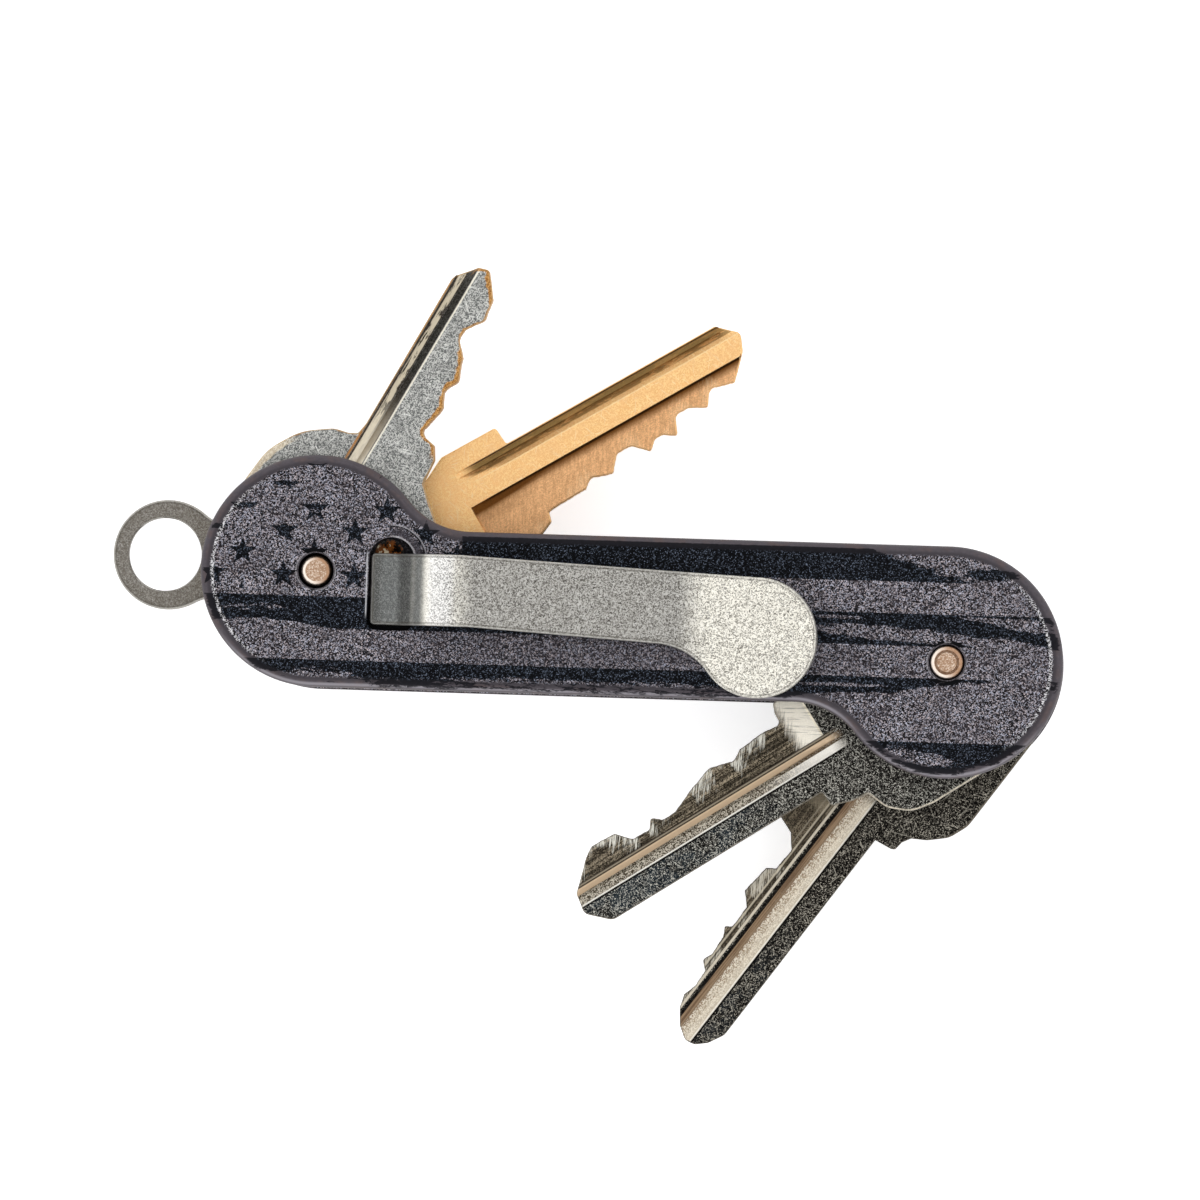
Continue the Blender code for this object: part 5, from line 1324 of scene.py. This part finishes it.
class ORGANIZER_OT_clip(bpy.types.Operator):
    """Bent spring clip with its paddle"""
    bl_idname = "organizer.clip"
    bl_label = "Spring clip"

    def side_path(self):
        """Middle line of the clip from the side: root, ramp, crest, blade down to the face, raised tip."""
        half, face = CLIP_THICK / 2, FACE - CLIP_PIVOT_Z
        tip = PADDLE[0] + PADDLE_RADIUS - CLIP_ROOT_X
        return rounded([(-CLIP_ROOT_LEFT - 1, half, 0), (1.1, half, 1.7), (4.25, face + 1.55 + half, 2.4),
                        (32.4, face + .12 + half, 7.0), (tip + 1, face + 1.47 + half, 0)], 14, closed=False)

    def plan(self):
        """Top view: straight root, blade that leans a little, round paddle set to one side."""
        left = CLIP_ROOT_X - CLIP_ROOT_LEFT
        lean = math.atan2(PADDLE[1] + PADDLE_RADIUS - CLIP_ROOT_TOP, PADDLE[0] - CLIP_TOP_START)
        along = np.array([math.cos(LOW_LEAN), -math.sin(LOW_LEAN)])
        up = np.array([-along[1], along[0]])
        height = (PADDLE - (CLIP_LOW_START, CLIP_ROOT_BOTTOM)) @ up + NECK_ROUND
        back = math.sqrt((PADDLE_RADIUS + NECK_ROUND) ** 2 - height ** 2)
        hollow = PADDLE - back * along - height * up
        touch = math.atan2(hollow[1] - PADDLE[1], hollow[0] - PADDLE[0])
        step = math.radians(2)
        round_end = arc(PADDLE, PADDLE_RADIUS, math.pi / 2 + lean, touch, step)
        neck = arc(hollow, NECK_ROUND, touch + math.pi, math.pi / 2 - LOW_LEAN, step)
        root = [(*neck[-1], 0), (CLIP_LOW_START, CLIP_ROOT_BOTTOM, 0), (left, CLIP_ROOT_BOTTOM, CLIP_CORNER),
                (left, CLIP_ROOT_TOP, CLIP_CORNER), (CLIP_TOP_START, CLIP_ROOT_TOP, 0)]
        return np.concatenate([round_end[:-1], neck[:-1], rounded(root, 12, closed=False)])[::-1]

    def execute(self, context):
        scene = context.scene
        plan, path = self.plan(), self.side_path()
        u = stations(plan, 0.25)
        low, high = spans(plan, u)
        middle = np.interp(u - CLIP_ROOT_X, path[:, 0], path[:, 1]) + CLIP_PIVOT_Z
        slope = np.gradient(middle, u)
        away = np.stack([-slope, np.ones_like(slope)], axis=1) / np.hypot(1, slope)[:, None]
        rows = across(low, high, np.arange(-7.6, 6.0, 0.4), CLIP_RIMS)
        depth = rim_depth(u, rows, low, high)
        rise = CLIP_THICK / 2 - rim_drop(depth, scene.organizer_clip.edge / MM)
        upper, under = (np.stack([u[:, None] + side * rise * away[:, :1], rows,
                                  middle[:, None] + side * rise * away[:, 1:]], axis=-1) for side in (1, -1))
        mesh = two_sided("tumbled_clip_blank", upper, under, depth, depth, 40.0)
        socket = plug("socket", [(RIVET_HOLE, CLIP_PIVOT_Z - PAST), (RIVET_HOLE, CLIP_PIVOT_Z + .6)], RIVET)
        mesh = cut(mesh, [socket], "tumbled_clip", 40.0)
        finish = tumbled_finish("tumbled_steel", tuple(scene.organizer_finish.clip), (190, 186, 176), 1.0,
                                CLIP_BEND_SHADE_AND_HIGHLIGHT, (-21.5, -18.5))
        put(mesh, finish, "clip", "pocket_clip")
        return {"FINISHED"}


class ORGANIZER_OT_stage(bpy.types.Operator):
    """Pale floor, softboxes, grey world and the camera over the handle"""
    bl_idname = "organizer.stage"
    bl_label = "Stage"

    def floor(self, scene, size):
        """Square floor just under the back face."""
        side, low = size / 2, FLOOR_HEIGHT * MM
        mesh = bpy.data.meshes.new("floor")
        corners = [(-side, -side, low), (side, -side, low), (side, side, low), (-side, side, low)]
        mesh.from_pydata(corners, [], [(0, 1, 2, 3)])
        mesh.materials.append(floor_finish())
        item = bpy.data.objects.new("floor", mesh)
        scene.collection.objects.link(item)

    def lamp(self, scene, name, place, size, power):
        """Rectangular softbox turned to face the middle of the handle."""
        light = bpy.data.lights.new(name, "AREA")
        light.shape, light.size, light.size_y, light.energy = "RECTANGLE", size[0], size[1], power
        item = bpy.data.objects.new(name, light)
        scene.collection.objects.link(item)
        item.location = place
        target = Vector((0.0, 0.0, 0.015))
        item.rotation_euler = (Vector(place) - target).to_track_quat("Z", "Y").to_euler()

    def world(self, scene):
        """Grey surroundings, a little brighter towards the top."""
        made = bpy.data.worlds.new("studio")
        scene.world = made
        made.use_nodes = True
        nodes, links = made.node_tree.nodes, made.node_tree.links
        source = nodes.new("ShaderNodeTexCoord")
        parts = nodes.new("ShaderNodeSeparateXYZ")
        ramp = nodes.new("ShaderNodeValToRGB")
        ramp.color_ramp.interpolation = "EASE"
        stops = ((0.0, 0.75), (0.35, 0.95), (0.75, 1.05), (0.93, 1.08), (1.0, 1.08))
        while len(ramp.color_ramp.elements) < len(stops):
            ramp.color_ramp.elements.new(0.5)
        for element, (position, tone) in zip(ramp.color_ramp.elements, stops):
            element.position, element.color = position, (tone, tone, tone * 1.02, 1)
        links.new(source.outputs["Generated"], parts.inputs[0])
        links.new(parts.outputs[2], ramp.inputs[0])
        background = next(n for n in nodes if n.type == "BACKGROUND")
        links.new(ramp.outputs[0], background.inputs["Color"])
        background.inputs["Strength"].default_value = 1.0

    def camera(self, scene, distance, roll):
        """Camera set back from its aim, with the picture turned by the roll."""
        back = Vector(CAMERA_BACK).normalized()
        right = Vector((math.cos(roll), math.sin(roll), 0.0))
        right = (right - back * right.dot(back)).normalized()
        camera = bpy.data.objects.new("camera", bpy.data.cameras.new("camera"))
        scene.collection.objects.link(camera)
        camera.matrix_world = Matrix.Translation(Vector(CAMERA_AIM) * MM + back * distance) @ Matrix(
            (right, back.cross(right), back)).transposed().to_4x4()
        camera.data.sensor_width, camera.data.lens = CAMERA_SENSOR, CAMERA_LENS
        camera.data.clip_start, camera.data.clip_end = 0.05, 20.0
        scene.camera = camera

    def execute(self, context):
        scene, stage = context.scene, context.scene.organizer_stage
        self.floor(scene, stage.floor)
        for name, place, size, power in (
                ("left_softbox", (-0.52, 0.05, 0.42), (0.45, 0.6), stage.side_lamps),
                ("right_softbox", (0.52, 0.02, 0.42), (0.45, 0.6), stage.side_lamps),
                ("far_softbox", (0.0, 0.5, 0.6), (0.8, 0.4), stage.top_lamp),
                ("near_softbox", (0.05, -0.55, 0.5), (0.8, 0.3), stage.top_lamp)):
            self.lamp(scene, name, place, size, power)
        self.world(scene)
        self.camera(scene, stage.distance, stage.roll)
        scene.view_settings.view_transform = "Standard"
        return {"FINISHED"}


OPERATORS = (ORGANIZER_OT_back_scale, ORGANIZER_OT_front_scale, ORGANIZER_OT_posts, ORGANIZER_OT_stack,
             ORGANIZER_OT_fasteners, ORGANIZER_OT_loop, ORGANIZER_OT_keys, ORGANIZER_OT_clip,
             ORGANIZER_OT_stage)


class ORGANIZER_PT_pieces(bpy.types.Panel):
    """Pieces of the key organizer, in the order they are made"""
    bl_idname = "ORGANIZER_PT_pieces"
    bl_label = "Key organizer"
    bl_space_type = "VIEW_3D"
    bl_region_type = "UI"
    bl_category = "Key organizer"

    def draw(self, context):
        for operator in OPERATORS:
            self.layout.operator(operator.bl_idname)
        for group in SETTINGS:
            settings = getattr(context.scene, group)
            for field in settings.bl_rna.properties:
                if field.identifier not in ("rna_type", "name"):
                    self.layout.prop(settings, field.identifier)


SETTINGS = {"organizer_handle": HandleSizes, "organizer_clip": ClipSizes, "organizer_keys": KeySizes,
            "organizer_finish": FinishColours, "organizer_stage": StageLevels}
CLASSES = (*SETTINGS.values(), *OPERATORS, ORGANIZER_PT_pieces)


def register():
    for made in CLASSES:
        bpy.utils.register_class(made)
    for name, group in SETTINGS.items():
        setattr(bpy.types.Scene, name, PointerProperty(type=group))


def unregister():
    for name in SETTINGS:
        delattr(bpy.types.Scene, name)
    for made in reversed(CLASSES):
        bpy.utils.unregister_class(made)


def main():
    """Make every piece in order."""
    register()
    for operator in OPERATORS:
        group, name = operator.bl_idname.split(".")
        getattr(getattr(bpy.ops, group), name)()
    bpy.context.view_layer.update()


if __name__ == "__main__":
    main()
